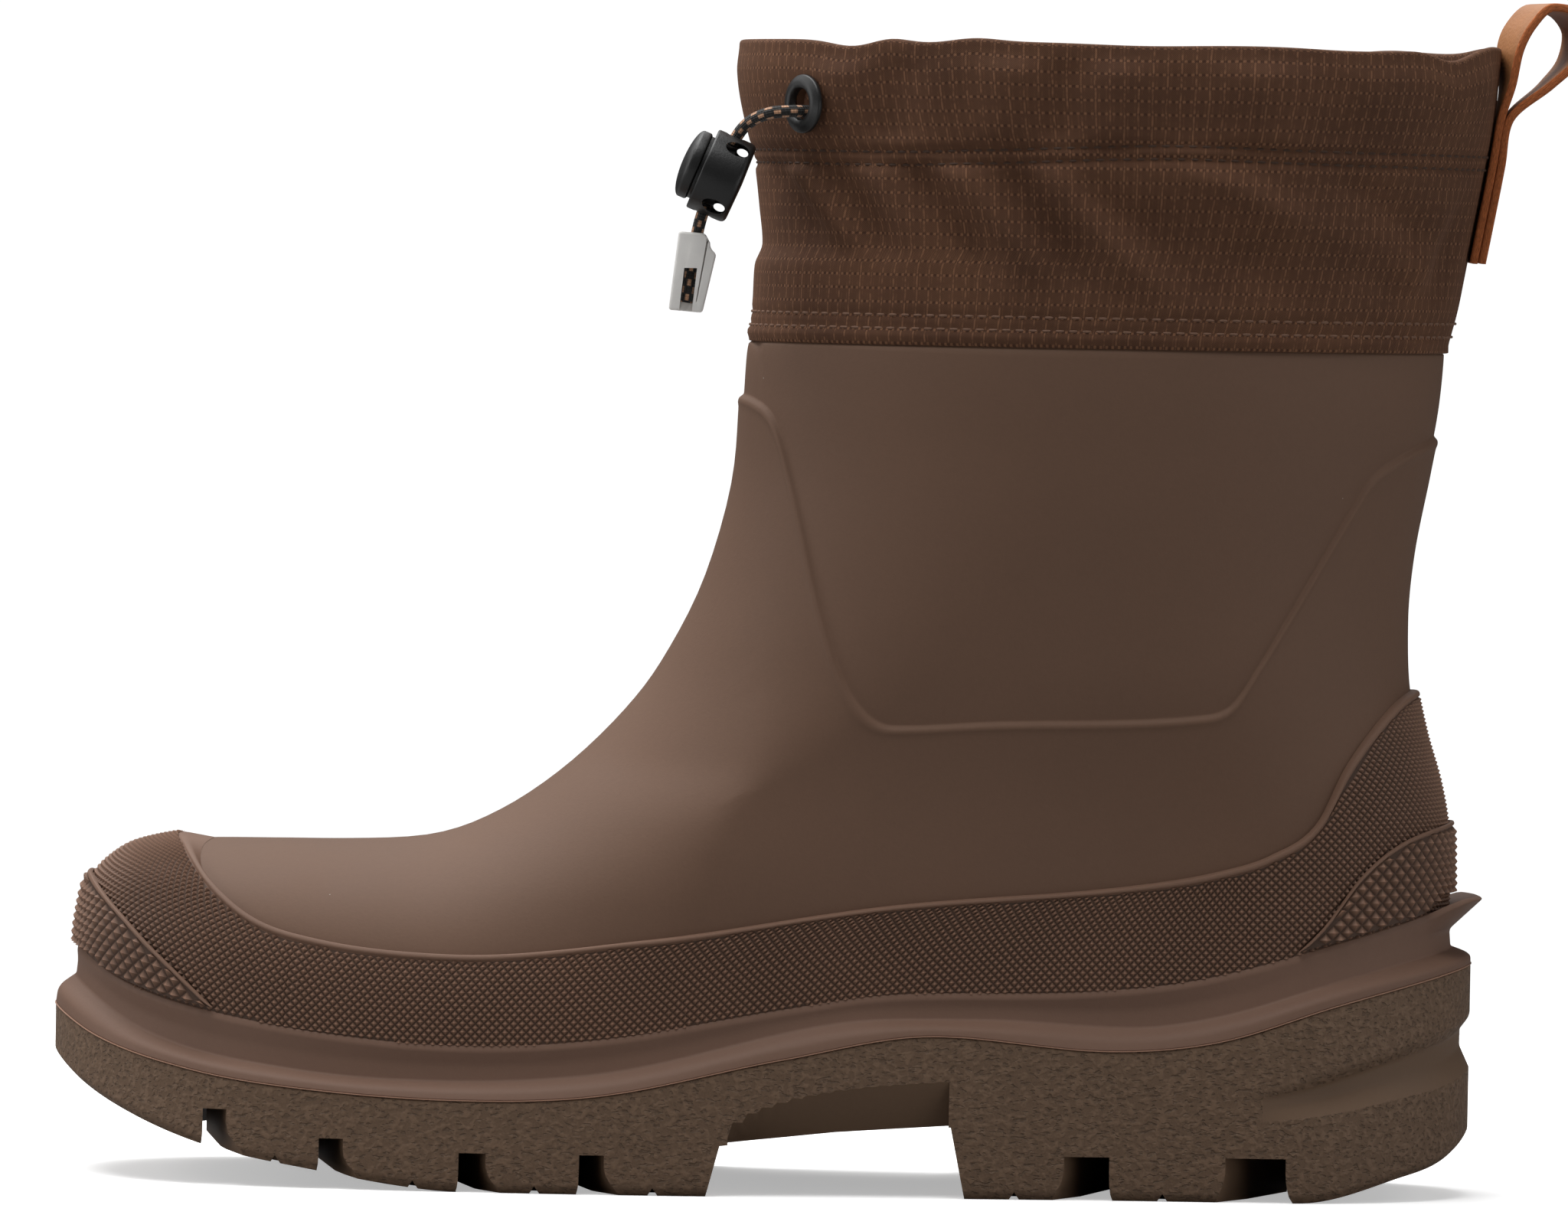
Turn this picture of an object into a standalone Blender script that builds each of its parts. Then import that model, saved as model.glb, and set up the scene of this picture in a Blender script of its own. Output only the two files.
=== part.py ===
"""Winter boot: rubber shell on a lugged sole, with a fabric cuff, pull loop and drawcord.

Sizes are in millimetres. X runs from the toe tip to the heel, Y from the outer (lateral) side to the
inner (medial) side of a left boot, and Z up from the floor. The origin is on the floor under the middle
of the boot and its loop.
"""
import math

import bmesh
import bpy
import numpy as np
from mathutils import Matrix, Vector

# Driving dimensions
MM = 0.001
ORIGIN_X = 155.3
ORIGIN_Y = 0.0
GAP = 0.3
HALF_COLUMNS = 32
WALL = 2.1
PANEL_STEP = 0.9
SEAT = PANEL_STEP + GAP
RAND_THICKNESS = 1.6
GUARD_THICKNESS = 0.9
BAND_PROUD = 2.9
LEDGE_PROUD = 7.4
INSOLE_THICKNESS = 4.0
INSOLE_PLAY = 1.0
CUFF_WALL = 1.6
CORD_DIAMETER = 2.5

# Rings of the shell from the feather edge to the shaft top: each lies in a plane across the boot
# through a point of the toe, vamp and shin line and a point of the back line. Rocker is the share of
# the footbed's curve that the ring keeps.
RINGS = np.array([
    # front_x, front_z, back_x, back_z, rocker
    (9.0, 27.6, 279.5, 28.3, 1.00),
    (7.8, 38.0, 280.4, 33.0, 0.90),
    (7.5, 46.2, 281.0, 37.0, 0.80),
    (8.2, 52.8, 281.4, 41.0, 0.72),
    (9.6, 58.4, 281.6, 45.0, 0.65),
    (13.0, 62.2, 281.7, 48.0, 0.60),
    (18.4, 65.0, 281.8, 51.0, 0.55),
    (30.0, 67.0, 281.9, 56.0, 0.50),
    (46.0, 67.3, 281.9, 61.0, 0.45),
    (60.1, 67.5, 281.8, 67.0, 0.40),
    (77.6, 68.9, 281.5, 75.0, 0.35),
    (91.1, 74.2, 279.8, 84.0, 0.30),
    (104.3, 83.4, 276.8, 94.0, 0.25),
    (116.3, 95.3, 274.6, 105.0, 0.20),
    (124.5, 106.8, 274.2, 117.0, 0.15),
    (132.4, 123.3, 275.3, 131.0, 0.10),
    (137.7, 144.0, 278.2, 147.0, 0.05),
    (138.7, 159.1, 280.4, 160.0, 0.00),
    (139.6, 171.0, 281.3, 171.2, 0.00),
    (142.0, 173.0, 279.2, 173.1, 0.00),
    (142.2, 184.0, 279.4, 184.0, 0.00),
])
TOE_RINGS = 5
RIDGE_RING = 2
SHIN_RING = 11
SHOULDER_RING = 18.0
TOP_RING = 20.0
INNER_RINGS = (20.0, 17.0, 15.0, 13.2, 11.6, 10.0, 8.0, 5.0, 2.0, 0.0)
RAND_SHARES = (0.0, 0.3, 0.6, 0.85, 1.0)
GUARD_SHARES = (0.0, 0.35, 0.7, 1.0)
GUARD_LEAST = 0.12
VAMP_SHARES = (0.16, 0.3, 0.42, 0.54, 0.66, 0.82, 1.0)
SHAFT_SHARES = (0.5, 1.0)
PANEL_BEVEL = 0.12
NORMAL_STEP = 0.05

# Half widths of the last along the foot, for the outer and the inner side
FOOT_WIDTH = np.array([
    # x, lateral, medial
    (0.0, 44.0, 43.0),
    (60.0, 46.0, 45.0),
    (84.0, 46.8, 45.5),
    (108.0, 47.0, 44.0),
    (178.0, 39.5, 34.5),
    (240.0, 34.8, 34.5),
    (290.0, 34.5, 34.5),
])
# Half width of the shaft and the lengths over which its front, its back and the vamp round off
SHAFT = np.array([
    # z, half_width, front_round, back_round
    (28.0, 38.0, 40.0, 40.0),
    (70.0, 38.0, 40.0, 42.0),
    (105.0, 41.0, 54.0, 50.0),
    (150.0, 45.5, 68.0, 62.0),
    (171.0, 47.0, 70.0, 66.0),
    (173.0, 45.0, 70.0, 66.0),
    (184.0, 45.2, 70.0, 66.0),
])
VAMP_ROUND = np.array([
    # x, depth
    (0.0, 24.0),
    (30.0, 28.0),
    (80.0, 34.0),
    (140.0, 60.0),
    (300.0, 60.0),
])
TOE_ROUND = 44.0
TOE_FADE = (60.0, 85.0)
TOE_TURN = 8.0
TURN_START_X = 110.0
TURN_POWER = 1.6
ROUND_POWER = 2.15
FOOT_TO_SHAFT = (58.0, 108.0)
# Slopes that carry the shin line on below its first ring, the toe line on above its last ring and
# the ridge on behind the shaft's front, and the draw-in of the wall towards the feather edge
SHIN_RUN = 9.0
TOE_RUN = 1.3
RIDGE_FALL = 30.0
TUCK_SHARE = 0.07
TUCK_HEIGHT = 16.0
# Columns: share of them and length of the turns at nose and tail, and the turns' limits by length
END_SHARE = 0.28
NOSE_RUN = 42.0
TAIL_RUN = 40.0
NOSE_LIMIT = 0.32
TAIL_LIMIT = 0.30
LEVEL_STEPS = 401

# Side lines of the boot, as x and z
FOOTBED = ((9.0, 27.6), (30.0, 20.0), (60.0, 15.4), (86.0, 14.5), (112.0, 15.6), (140.0, 19.8),
           (165.0, 24.6), (190.0, 27.4), (215.0, 28.2), (279.5, 28.3))
PARTING = ((0.0, 34.1), (10.0, 28.7), (30.0, 23.1), (51.0, 20.2), (86.0, 18.4), (112.0, 19.8),
           (149.0, 27.6), (180.0, 32.7), (215.0, 30.1), (236.0, 32.1), (261.0, 39.9), (290.0, 47.6))
LEDGE = ((3.4, 40.7), (20.0, 30.4), (51.0, 23.6), (81.0, 22.0), (112.0, 24.0), (170.0, 35.7),
         (190.0, 35.9), (219.0, 34.7), (236.0, 36.9), (261.0, 44.5), (286.0, 51.1))
RAND_LOW = ((4.4, 46.4), (14.6, 40.5), (32.0, 35.3), (71.0, 29.8), (86.0, 29.3), (112.0, 31.0),
            (149.0, 37.6), (170.0, 40.8), (210.0, 42.0), (231.0, 44.5), (266.0, 53.9), (282.0, 58.6))
RAND_TOP = ((0.0, 72.0), (24.0, 68.8), (33.0, 59.2), (42.0, 52.7), (55.0, 48.9), (83.0, 46.6),
            (122.0, 50.9), (169.0, 58.3), (220.0, 63.3), (236.0, 66.2), (247.0, 69.9), (256.0, 76.6),
            (261.0, 87.0), (267.0, 95.8), (272.5, 101.3), (277.0, 103.0))
TOE_GUARD_TOP = ((0.0, 62.0), (7.7, 60.2), (20.3, 47.5), (34.0, 33.6))
HEEL_GUARD_TOP = ((249.0, 47.5), (257.0, 55.7), (264.0, 66.0), (271.0, 72.2), (285.0, 76.9))
PANEL_EDGE = ((137.0, 160.0), (141.0, 159.0), (145.0, 155.5), (147.2, 149.8), (155.4, 116.0),
              (159.2, 104.2), (163.4, 97.2), (169.6, 94.0), (189.0, 95.1), (232.8, 97.3), (238.5, 99.6),
              (243.0, 106.5), (262.0, 139.6), (265.5, 145.3), (270.0, 148.8), (281.0, 154.6))
TREAD = ((0.0, 23.6), (5.0, 19.6), (15.0, 14.2), (32.0, 8.1), (57.0, 3.4), (72.0, 1.0), (84.0, 0.0),
         (254.0, 0.0), (274.0, 4.6), (286.0, 9.0), (290.0, 13.0))

# Grooves of the tread: front and width where they leave the sole's edge, and how far they sweep inwards
GROOVES = (
    # front_x, width, top_z, sweep, edge_y
    (33.2, 4.6, 15.4, -6.0, 47.0),
    (56.7, 4.8, 10.2, -8.0, 52.0),
    (84.7, 5.4, 7.9, -10.0, 53.5),
    (108.7, 5.0, 8.0, -10.0, 53.5),
    (206.0, 8.9, 8.8, 12.0, 44.0),
    (238.6, 12.0, 9.0, 15.0, 42.0),
)
CENTRE_CHANNELS = (
    # front_x, back_x, half_width, top_z
    (60.0, 126.0, 2.6, 5.0),
    (196.0, 262.0, 3.0, 5.5),
)
ARCH = ((133.6, -2.0), (136.8, 10.2), (160.0, 12.8), (183.2, 14.4), (186.6, -2.0))
# Recess of the arch's sides: front and back x, height of its sloped face, depth and foot
SCOOP_X = (138.0, 183.0)
SCOOP_RISE = 11.5
SCOOP_DEPTH = 9.0
SCOOP_Z = (4.0, 11.0)
# Rows down the outsole's side: share of its height, part of the wedge's depth, and part of its opening
SOLE_SIDE = (
    # share, depth, opening
    (0.80, 0.0, 0.0),
    (0.62, 0.0, 1.0),
    (0.55, 1.0, 1.0),
    (0.48, 0.0, 1.0),
)
HEEL_WEDGE_X = (246.0, 290.0)
HEEL_WEDGE_DEPTH = 2.0
HEEL_WEDGE_MIDDLE = 0.55
HEEL_WEDGE_OPENING = 0.9
SOLE_EDGE = 1.4
CUTTER_REACH = 70.0
BELOW_FLOOR = -3.0
# Welt: least rises of ledge and band, upright lip, waist of the band and rounding of its rim
LEDGE_RISE = 2.6
BAND_RISE = 2.0
WELT_LIP = 1.2
BAND_FLARE = 0.3
BAND_WAIST = 0.45
BAND_ROUND = 0.4

# Kick-off spur at the back of the heel
SPUR_REACH = 6.6
SPUR_RISE = 2.6
SPUR_HALF_WIDTH = 25.0
SPUR_EDGE = 0.9
SPUR_FOOT = 4.0
SPUR_SIDES = 0.45
HEEL_START_X = 200.0

# Fabric cuff, ring by ring
CUFF = np.array([
    # z, front_x, back_x, half_width
    (173.3, 139.7, 282.2, 47.2),
    (180.0, 140.2, 283.9, 47.6),
    (187.0, 140.5, 285.2, 48.0),
    (191.5, 142.0, 286.0, 48.2),
    (198.5, 141.3, 287.3, 48.8),
    (207.5, 140.1, 288.9, 49.6),
    (217.0, 138.0, 290.5, 50.2),
    (227.0, 136.8, 291.5, 50.6),
    (232.3, 136.6, 291.9, 50.6),
])
CUFF_ROUND = (70.0, 66.0)
CUFF_OUTER_Z = (173.3, 185.0, 191.5, 199.0, 212.0, 232.0)
CUFF_INNER_Z = (232.0, 212.0, 191.5, 186.0, 173.3)

# Leather pull loop: half a loop of strip from its sewn foot, over the top, and down again
LOOP_STRIP = 1.7
LOOP_WIDTH = 18.0
LOOP_TWIST = math.radians(-14.0)
LOOP_TWIST_Z = (219.0, 240.0)
LOOP_FOOT_Z = (190.0, 200.0, 210.0, 219.0)
LOOP_FRONT_LEG = ((293.2, 226.0), (293.6, 233.0), (295.8, 238.6))
LOOP_TOP = ((300.0, 242.3), (304.6, 241.3))
LOOP_BACK_LEG = ((307.3, 237.0), (305.7, 231.6), (301.3, 226.6))

# Eyelet on the outer side of the cuff
EYELET_X = 151.2
EYELET_Z = 219.7
EYELET_RADIUS = 5.95
EYELET_BORE = 3.1
EYELET_THICKNESS = 1.6
EYELET_EXTRA_TURN = math.radians(10.0)
EYELET_CHAMFER = 0.7

# Cord lock: barrel axis from the closed end to the button, with a sprung plunger
LOCK_CENTRE = (133.6, -31.0, 204.8)
LOCK_SLOPE = math.radians(22.3)
LOCK_RADIUS = 8.5
LOCK_LENGTH = 8.4
LOCK_BORE_RADIUS = 7.4
LOCK_FLOOR = 1.2
LOCK_CORD_HOLE = 1.9
LOCK_HOLE_SHIFT = 0.6
BUTTON_RADIUS = 7.1
BUTTON_STEM_RADIUS = 6.6
BUTTON_GAP = 0.9
BUTTON_RIM = 1.5
BUTTON_DOME = 1.9
BUTTON_STEM = 5.0
BUTTON_SLOT = 3.6
BUTTON_TRAVEL = 2.0
BUTTON_TURNS = (20.0, 42.0, 64.0, 90.0)
BUTTON_STEPS = 20

# Free stretch of the drawcord, from inside the eyelet to inside the end clip
CORD_ROUTE = (
    (152.4, -30.8, 218.2),
    (149.5, -32.9, 218.2),
    (146.6, -34.6, 218.1),
    (143.7, -34.9, 217.8),
    (140.9, -33.7, 216.9),
    (138.3, -31.9, 215.2),
    (136.4, -31.0, 212.7),
    (134.8, -31.0, 209.3),
    (133.0, -31.0, 205.0),
    (131.3, -31.0, 200.8),
    (129.9, -31.0, 197.3),
    (129.0, -31.0, 193.8),
    (128.3, -31.0, 189.4),
    (127.6, -31.0, 184.4),
    (126.9, -31.0, 179.2),
)
CORD_STEPS = 22

# End clip: a leaf that holds the cord and a shorter leaf hinged to it at the top
CLIP_OUTLINE = ((126.0, 193.6), (131.9, 193.8), (133.8, 188.4), (132.6, 186.2), (131.1, 189.0),
                (130.4, 177.6), (123.6, 177.4), (124.4, 186.0))
CLIP_DEPTH = 5.6
CLIP_BORE = 1.75
CLIP_SLOT_Z = (176.5, 186.0)
CLIP_SLOT_HALF = 1.3
CLIP_SLOT_LEAN = (-0.3, 0.7)
SMOOTH_ANGLE = math.radians(35.0)

COLOURS = {
    # sub-part: red, green, blue, roughness
    "upper": (0.118, 0.072, 0.050, 0.55),
    "rand": (0.112, 0.067, 0.047, 0.60),
    "guard": (0.105, 0.062, 0.043, 0.60),
    "welt": (0.150, 0.094, 0.068, 0.50),
    "outsole": (0.075, 0.052, 0.036, 0.70),
    "insole": (0.060, 0.055, 0.050, 0.90),
    "cuff": (0.046, 0.032, 0.026, 0.80),
    "pull_loop": (0.330, 0.140, 0.055, 0.60),
    "hardware": (0.012, 0.012, 0.012, 0.45),
    "drawcord": (0.020, 0.018, 0.016, 0.80),
    "cord_end": (0.700, 0.690, 0.660, 0.35),
}


def smooth(table, value):
    """Cubic through the table's points with slopes from their neighbours, flat past both ends."""
    points = np.asarray(table, dtype=float)
    x, y = points[:, 0], points[:, 1]
    secant = np.diff(y) / np.diff(x)
    slope = np.empty_like(y)
    slope[1:-1] = np.where(secant[1:] * secant[:-1] > 0, 0.5 * (secant[1:] + secant[:-1]), 0.0)
    limit = 2.5 * np.minimum(np.abs(secant[1:]), np.abs(secant[:-1]))
    slope[1:-1] = np.clip(slope[1:-1], -limit, limit)
    slope[0], slope[-1] = secant[0], secant[-1]
    value = np.clip(value, x[0], x[-1])
    i = np.clip(np.searchsorted(x, value) - 1, 0, len(x) - 2)
    span = x[i + 1] - x[i]
    t = (value - x[i]) / span
    rise = t * t * (3.0 - 2.0 * t)
    bend = span * t * (1.0 - t) * (slope[i] * (1.0 - t) - slope[i + 1] * t)
    return y[i] + (y[i + 1] - y[i]) * rise + bend


def column(table, name_index, value):
    """One named column of a wide table, read smoothly at a value of its first column."""
    return smooth(table[:, (0, name_index)], value)


def ring_values(level):
    """Front x and z, back x and z and rocker of the shell's rings at any level between them."""
    order = np.arange(len(RINGS), dtype=float)
    return [smooth(np.column_stack((order, RINGS[:, i])), level) for i in range(RINGS.shape[1])]


def ease(value, low, high):
    """Zero below low, one above high, with a soft turn at both."""
    t = np.clip((value - low) / (high - low), 0.0, 1.0)
    return t * t * (3.0 - 2.0 * t)


def bulge(depth):
    """Quarter of a rounded outline: zero at no depth, one where the depth is full."""
    rest = 1.0 - np.clip(depth, 0.0, 1.0)
    return (1.0 - rest ** ROUND_POWER) ** (1.0 / ROUND_POWER)


FINE_LEVELS = np.linspace(0.0, len(RINGS) - 1.0, 801)
FRONT_X, FRONT_Z, BACK_X, BACK_Z, _ = ring_values(FINE_LEVELS)
TOE_PART = FINE_LEVELS <= TOE_RINGS
SHIN_PART = FINE_LEVELS >= SHIN_RING
RIDGE_PART = FINE_LEVELS >= RIDGE_RING


def front_depth(x, z):
    """Depth behind the toe, vamp and shin line: the three depths joined as reciprocal squares."""
    below = np.interp(x, FRONT_X[RIDGE_PART], FRONT_Z[RIDGE_PART]) - z
    below = below + RIDGE_FALL * np.maximum(x - FRONT_X[-1], 0.0)
    shin_x = np.interp(z, FRONT_Z[SHIN_PART], FRONT_X[SHIN_PART])
    behind = x - shin_x + SHIN_RUN * np.maximum(FRONT_Z[SHIN_PART][0] - z, 0.0)
    toe_x = np.interp(z, FRONT_Z[TOE_PART], FRONT_X[TOE_PART])
    inside = x - toe_x - TOE_RUN * np.maximum(z - FRONT_Z[TOE_PART][-1], 0.0)
    toe_round = TOE_ROUND * (1.0 - ease(z, *TOE_FADE))
    total = (toe_round / np.maximum(inside, 1e-6)) ** 2
    for depth, length in ((below, smooth(VAMP_ROUND, x)), (behind, column(SHAFT, 2, z))):
        total = total + (length / np.maximum(depth, 1e-6)) ** 2
    return 1.0 / np.sqrt(total)


def centre_y(x):
    """Inward turn of the foot's middle line towards the toe."""
    return TOE_TURN * np.clip(1.0 - x / TURN_START_X, 0.0, 1.0) ** TURN_POWER


def half_width(x, z, side):
    """Half width of the shell at a point of its side view."""
    foot = np.where(side < 0, column(FOOT_WIDTH, 1, x), column(FOOT_WIDTH, 2, x))
    share = ease(z, *FOOT_TO_SHAFT)
    full = foot * (1.0 - share) + column(SHAFT, 1, z) * share
    above_bed = np.clip((z - smooth(FOOTBED, x)) / TUCK_HEIGHT, 0.0, 1.0)
    tuck = 1.0 - TUCK_SHARE * (1.0 - above_bed) ** 2
    behind = (np.interp(z, BACK_Z, BACK_X) - x) / column(SHAFT, 3, z)
    return full * tuck * bulge(front_depth(x, z)) * bulge(behind)


def columns():
    """Place from front to back (0 to 1) and side (-1 outer, 1 inner) of each column of a ring."""
    index = np.arange(2 * HALF_COLUMNS)
    place = np.where(index <= HALF_COLUMNS, index, 2 * HALF_COLUMNS - index) / HALF_COLUMNS
    side = np.where(index <= HALF_COLUMNS, -1.0, 1.0)
    return place, side


def along(place, front, back):
    """X of a column: quarter turns at nose and tail, with even steps between them."""
    nose = np.minimum(NOSE_RUN, NOSE_LIMIT * (back - front))
    tail = np.minimum(TAIL_RUN, TAIL_LIMIT * (back - front))
    quarter = math.pi / 2
    turn_in = front + nose * (1.0 - np.cos(np.clip(place / END_SHARE, 0.0, 1.0) * quarter))
    turn_out = back - tail * (1.0 - np.cos(np.clip((1.0 - place) / END_SHARE, 0.0, 1.0) * quarter))
    even = (place - END_SHARE) / (1.0 - 2.0 * END_SHARE)
    middle = front + nose + (back - tail - front - nose) * even
    return np.where(place < END_SHARE, turn_in, np.where(place > 1.0 - END_SHARE, turn_out, middle))


def shell(level, turn=0):
    """Points of the bare shell at one level for each column, or for the columns a few places on."""
    place, side = (np.roll(values, -turn) for values in columns())
    level = np.broadcast_to(np.asarray(level, dtype=float), place.shape)
    front_x, front_z, back_x, back_z, rocker = ring_values(level)
    x = along(place, front_x, back_x)
    share = (x - front_x) / (back_x - front_x)
    chord = front_z + (back_z - front_z) * share
    level_bed = smooth(FOOTBED, front_x) * (1.0 - share) + smooth(FOOTBED, back_x) * share
    z = chord + rocker * (smooth(FOOTBED, x) - level_bed)
    ends = (place == 0.0) | (place == 1.0)
    width = np.where(ends, 0.0, half_width(x, z, side))
    return np.stack((x, centre_y(x) + side * width, z), axis=-1)


def outward(level, flat=False):
    """Unit normal of the shell at one level for each column, or its level part alone."""
    around = shell(level, 1) - shell(level, -1)
    high = shell(np.minimum(level + NORMAL_STEP, TOP_RING))
    low = shell(np.maximum(level - NORMAL_STEP, 0.0))
    up = np.broadcast_to((0.0, 0.0, 1.0), high.shape) if flat else high - low
    normal = np.cross(around, up)
    return normal / np.linalg.norm(normal, axis=-1, keepdims=True)


def offset(level, distance, flat=False):
    """Ring of the shell at a level, moved out by a distance."""
    distance = np.broadcast_to(np.asarray(distance, dtype=float), (2 * HALF_COLUMNS,))
    return shell(level) + outward(level, flat) * distance[:, None]


def level_at(line):
    """Level at which each column of the shell first rises above a side line or a height per column."""
    steps = np.linspace(0.0, TOP_RING, LEVEL_STEPS)
    grid = np.stack([shell(step) for step in steps])
    target = smooth(line, grid[..., 0]) if np.ndim(line) == 2 else np.asarray(line)[None, :]
    above = grid[..., 2] - target
    first = np.maximum(np.argmax(above > 0.0, axis=0), 1)
    index = np.arange(2 * HALF_COLUMNS)
    low, high = above[first - 1, index], above[first, index]
    part = np.clip(-low / np.maximum(high - low, 1e-9), 0.0, 1.0)
    return steps[first - 1] + part * (steps[1] - steps[0])


def at_height(ring, z):
    """The same ring with its heights replaced."""
    ring = ring.copy()
    ring[:, 2] = z
    return ring


def new_material(name):
    """Principled material with a sub-part's colour and roughness."""
    material = bpy.data.materials.new(name)
    material.use_nodes = True
    red, green, blue, roughness = COLOURS[name]
    shader = material.node_tree.nodes["Principled BSDF"]
    shader.inputs["Base Color"].default_value = (red, green, blue, 1.0)
    shader.inputs["Roughness"].default_value = roughness
    shader.inputs["Metallic"].default_value = 0.0
    material.diffuse_color = (red, green, blue, 1.0)
    return material


def place_points(points):
    """Millimetres from the toe tip to metres from the origin."""
    return (np.asarray(points, dtype=float) - (ORIGIN_X, ORIGIN_Y, 0.0)) * MM


def add_mesh(name, points, faces, material, collection):
    """Object from points in boot millimetres, with its faces turned outwards."""
    mesh = bpy.data.meshes.new(name)
    mesh.from_pydata(place_points(points).tolist(), [], faces)
    solid = bmesh.new()
    solid.from_mesh(mesh)
    bmesh.ops.recalc_face_normals(solid, faces=solid.faces)
    solid.to_mesh(mesh)
    solid.free()
    mesh.shade_smooth()
    mesh.set_sharp_from_angle(angle=SMOOTH_ANGLE)
    thing = bpy.data.objects.new(name, mesh)
    collection.objects.link(thing)
    if material:
        mesh.materials.append(material)
    return thing


def band_faces(rows, closed_rows, closed_columns=True):
    """Triangles between neighbouring rows, split from the lower row's point to the upper row's next one.

    Forms that lie over each other are then split alike, so that the gap between them stays even.
    """
    count = len(rows[0])
    faces = []
    for r in range(len(rows) if closed_rows else len(rows) - 1):
        s = (r + 1) % len(rows)
        for k in range(count if closed_columns else count - 1):
            n = (k + 1) % count
            a, b, c, d = r * count + k, r * count + n, s * count + n, s * count + k
            if rows[r][k][2] <= rows[s][k][2]:
                faces += [(a, b, c), (a, c, d)]
            else:
                faces += [(a, b, d), (b, c, d)]
    return faces


def cap_faces(start, count):
    """Quads across a ring from its outer to its inner side, with a triangle at each end."""
    half = count // 2
    faces = [(start, start + 1, start + count - 1)]
    for k in range(1, half - 1):
        faces.append((start + k, start + k + 1, start + count - k - 1, start + count - k))
    faces.append((start + half - 1, start + half, start + half + 1))
    return faces


def add_ring_solid(name, rows, material, collection):
    """Closed solid around the boot: rows run up its outside and down its inside."""
    return add_mesh(name, np.concatenate(rows), band_faces(rows, True), material, collection)


def add_capped_solid(name, rows, material, collection):
    """Closed solid whose first and last rings are filled across."""
    count = len(rows[0])
    faces = band_faces(rows, False)
    faces += cap_faces(0, count) + cap_faces((len(rows) - 1) * count, count)
    return add_mesh(name, np.concatenate(rows), faces, material, collection)


def add_patch_solid(name, rows, material, collection):
    """Closed solid over part of the boot: rows of open rings make a tube, closed at both ends."""
    count = len(rows[0])
    faces = band_faces(rows, True, closed_columns=False)
    faces.append(tuple(r * count for r in range(len(rows))))
    faces.append(tuple(r * count + count - 1 for r in range(len(rows))))
    return add_mesh(name, np.concatenate(rows), faces, material, collection)


def add_prism(name, outline, axis, low, high, collection, material=None):
    """Flat outline drawn across an axis (0 X, 1 Y, 2 Z) and extruded from low to high."""
    others = [i for i in range(3) if i != axis]
    ends = []
    for level in (low, high):
        ring = np.full((len(outline), 3), float(level))
        ring[:, others] = outline
        ends.append(ring)
    count = len(outline)
    faces = band_faces(ends, False)
    faces += [tuple(range(count)), tuple(range(count, 2 * count))]
    return add_mesh(name, np.concatenate(ends), faces, material, collection)


def cut(thing, cutter):
    """Take a cutter's shape away from an object, and mark it as a cutter."""
    cutter.hide_render = True
    cutter.display_type = "WIRE"
    modifier = thing.modifiers.new(cutter.name, "BOOLEAN")
    modifier.operation = "DIFFERENCE"
    modifier.object = cutter
    modifier.solver = "EXACT"


def add_cylinder(name, radius, depth, frame, segments, collection, material=None, top_radius=None):
    """Closed cylinder or cone along the Z of a frame given in metres, centred on it."""
    solid = bmesh.new()
    top = radius if top_radius is None else top_radius
    bmesh.ops.create_cone(solid, cap_ends=True, segments=segments, radius1=radius * MM,
                          radius2=top * MM, depth=depth * MM)
    mesh = bpy.data.meshes.new(name)
    solid.to_mesh(mesh)
    solid.free()
    mesh.shade_smooth()
    mesh.set_sharp_from_angle(angle=SMOOTH_ANGLE)
    thing = bpy.data.objects.new(name, mesh)
    thing.matrix_world = frame
    collection.objects.link(thing)
    if material:
        mesh.materials.append(material)
    return thing


def axis_frame(point, direction):
    """Frame at a point in boot millimetres whose Z lies along a direction."""
    turn = Vector(direction).to_track_quat("Z", "Y").to_matrix().to_4x4()
    return Matrix.Translation(Vector(place_points(point))) @ turn


def sole_lines():
    """Rings and heights that outsole and welt share, column by column."""
    middle = level_at(LEDGE)
    edge = offset(middle, LEDGE_PROUD, flat=True)
    band = offset(middle, BAND_PROUD, flat=True)
    parting_z = smooth(PARTING, edge[:, 0])
    ledge_z = np.maximum(smooth(LEDGE, band[:, 0]), parting_z + LEDGE_RISE)
    band_z = np.maximum(smooth(RAND_LOW, band[:, 0]), ledge_z + BAND_RISE)
    at_back = np.clip(1.0 - np.abs(edge[:, 1]) / SPUR_HALF_WIDTH, 0.0, 1.0)
    spur = ease(at_back, 0.0, SPUR_SIDES) * (edge[:, 0] > HEEL_START_X)
    return edge, parting_z, ledge_z, band_z, spur


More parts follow.
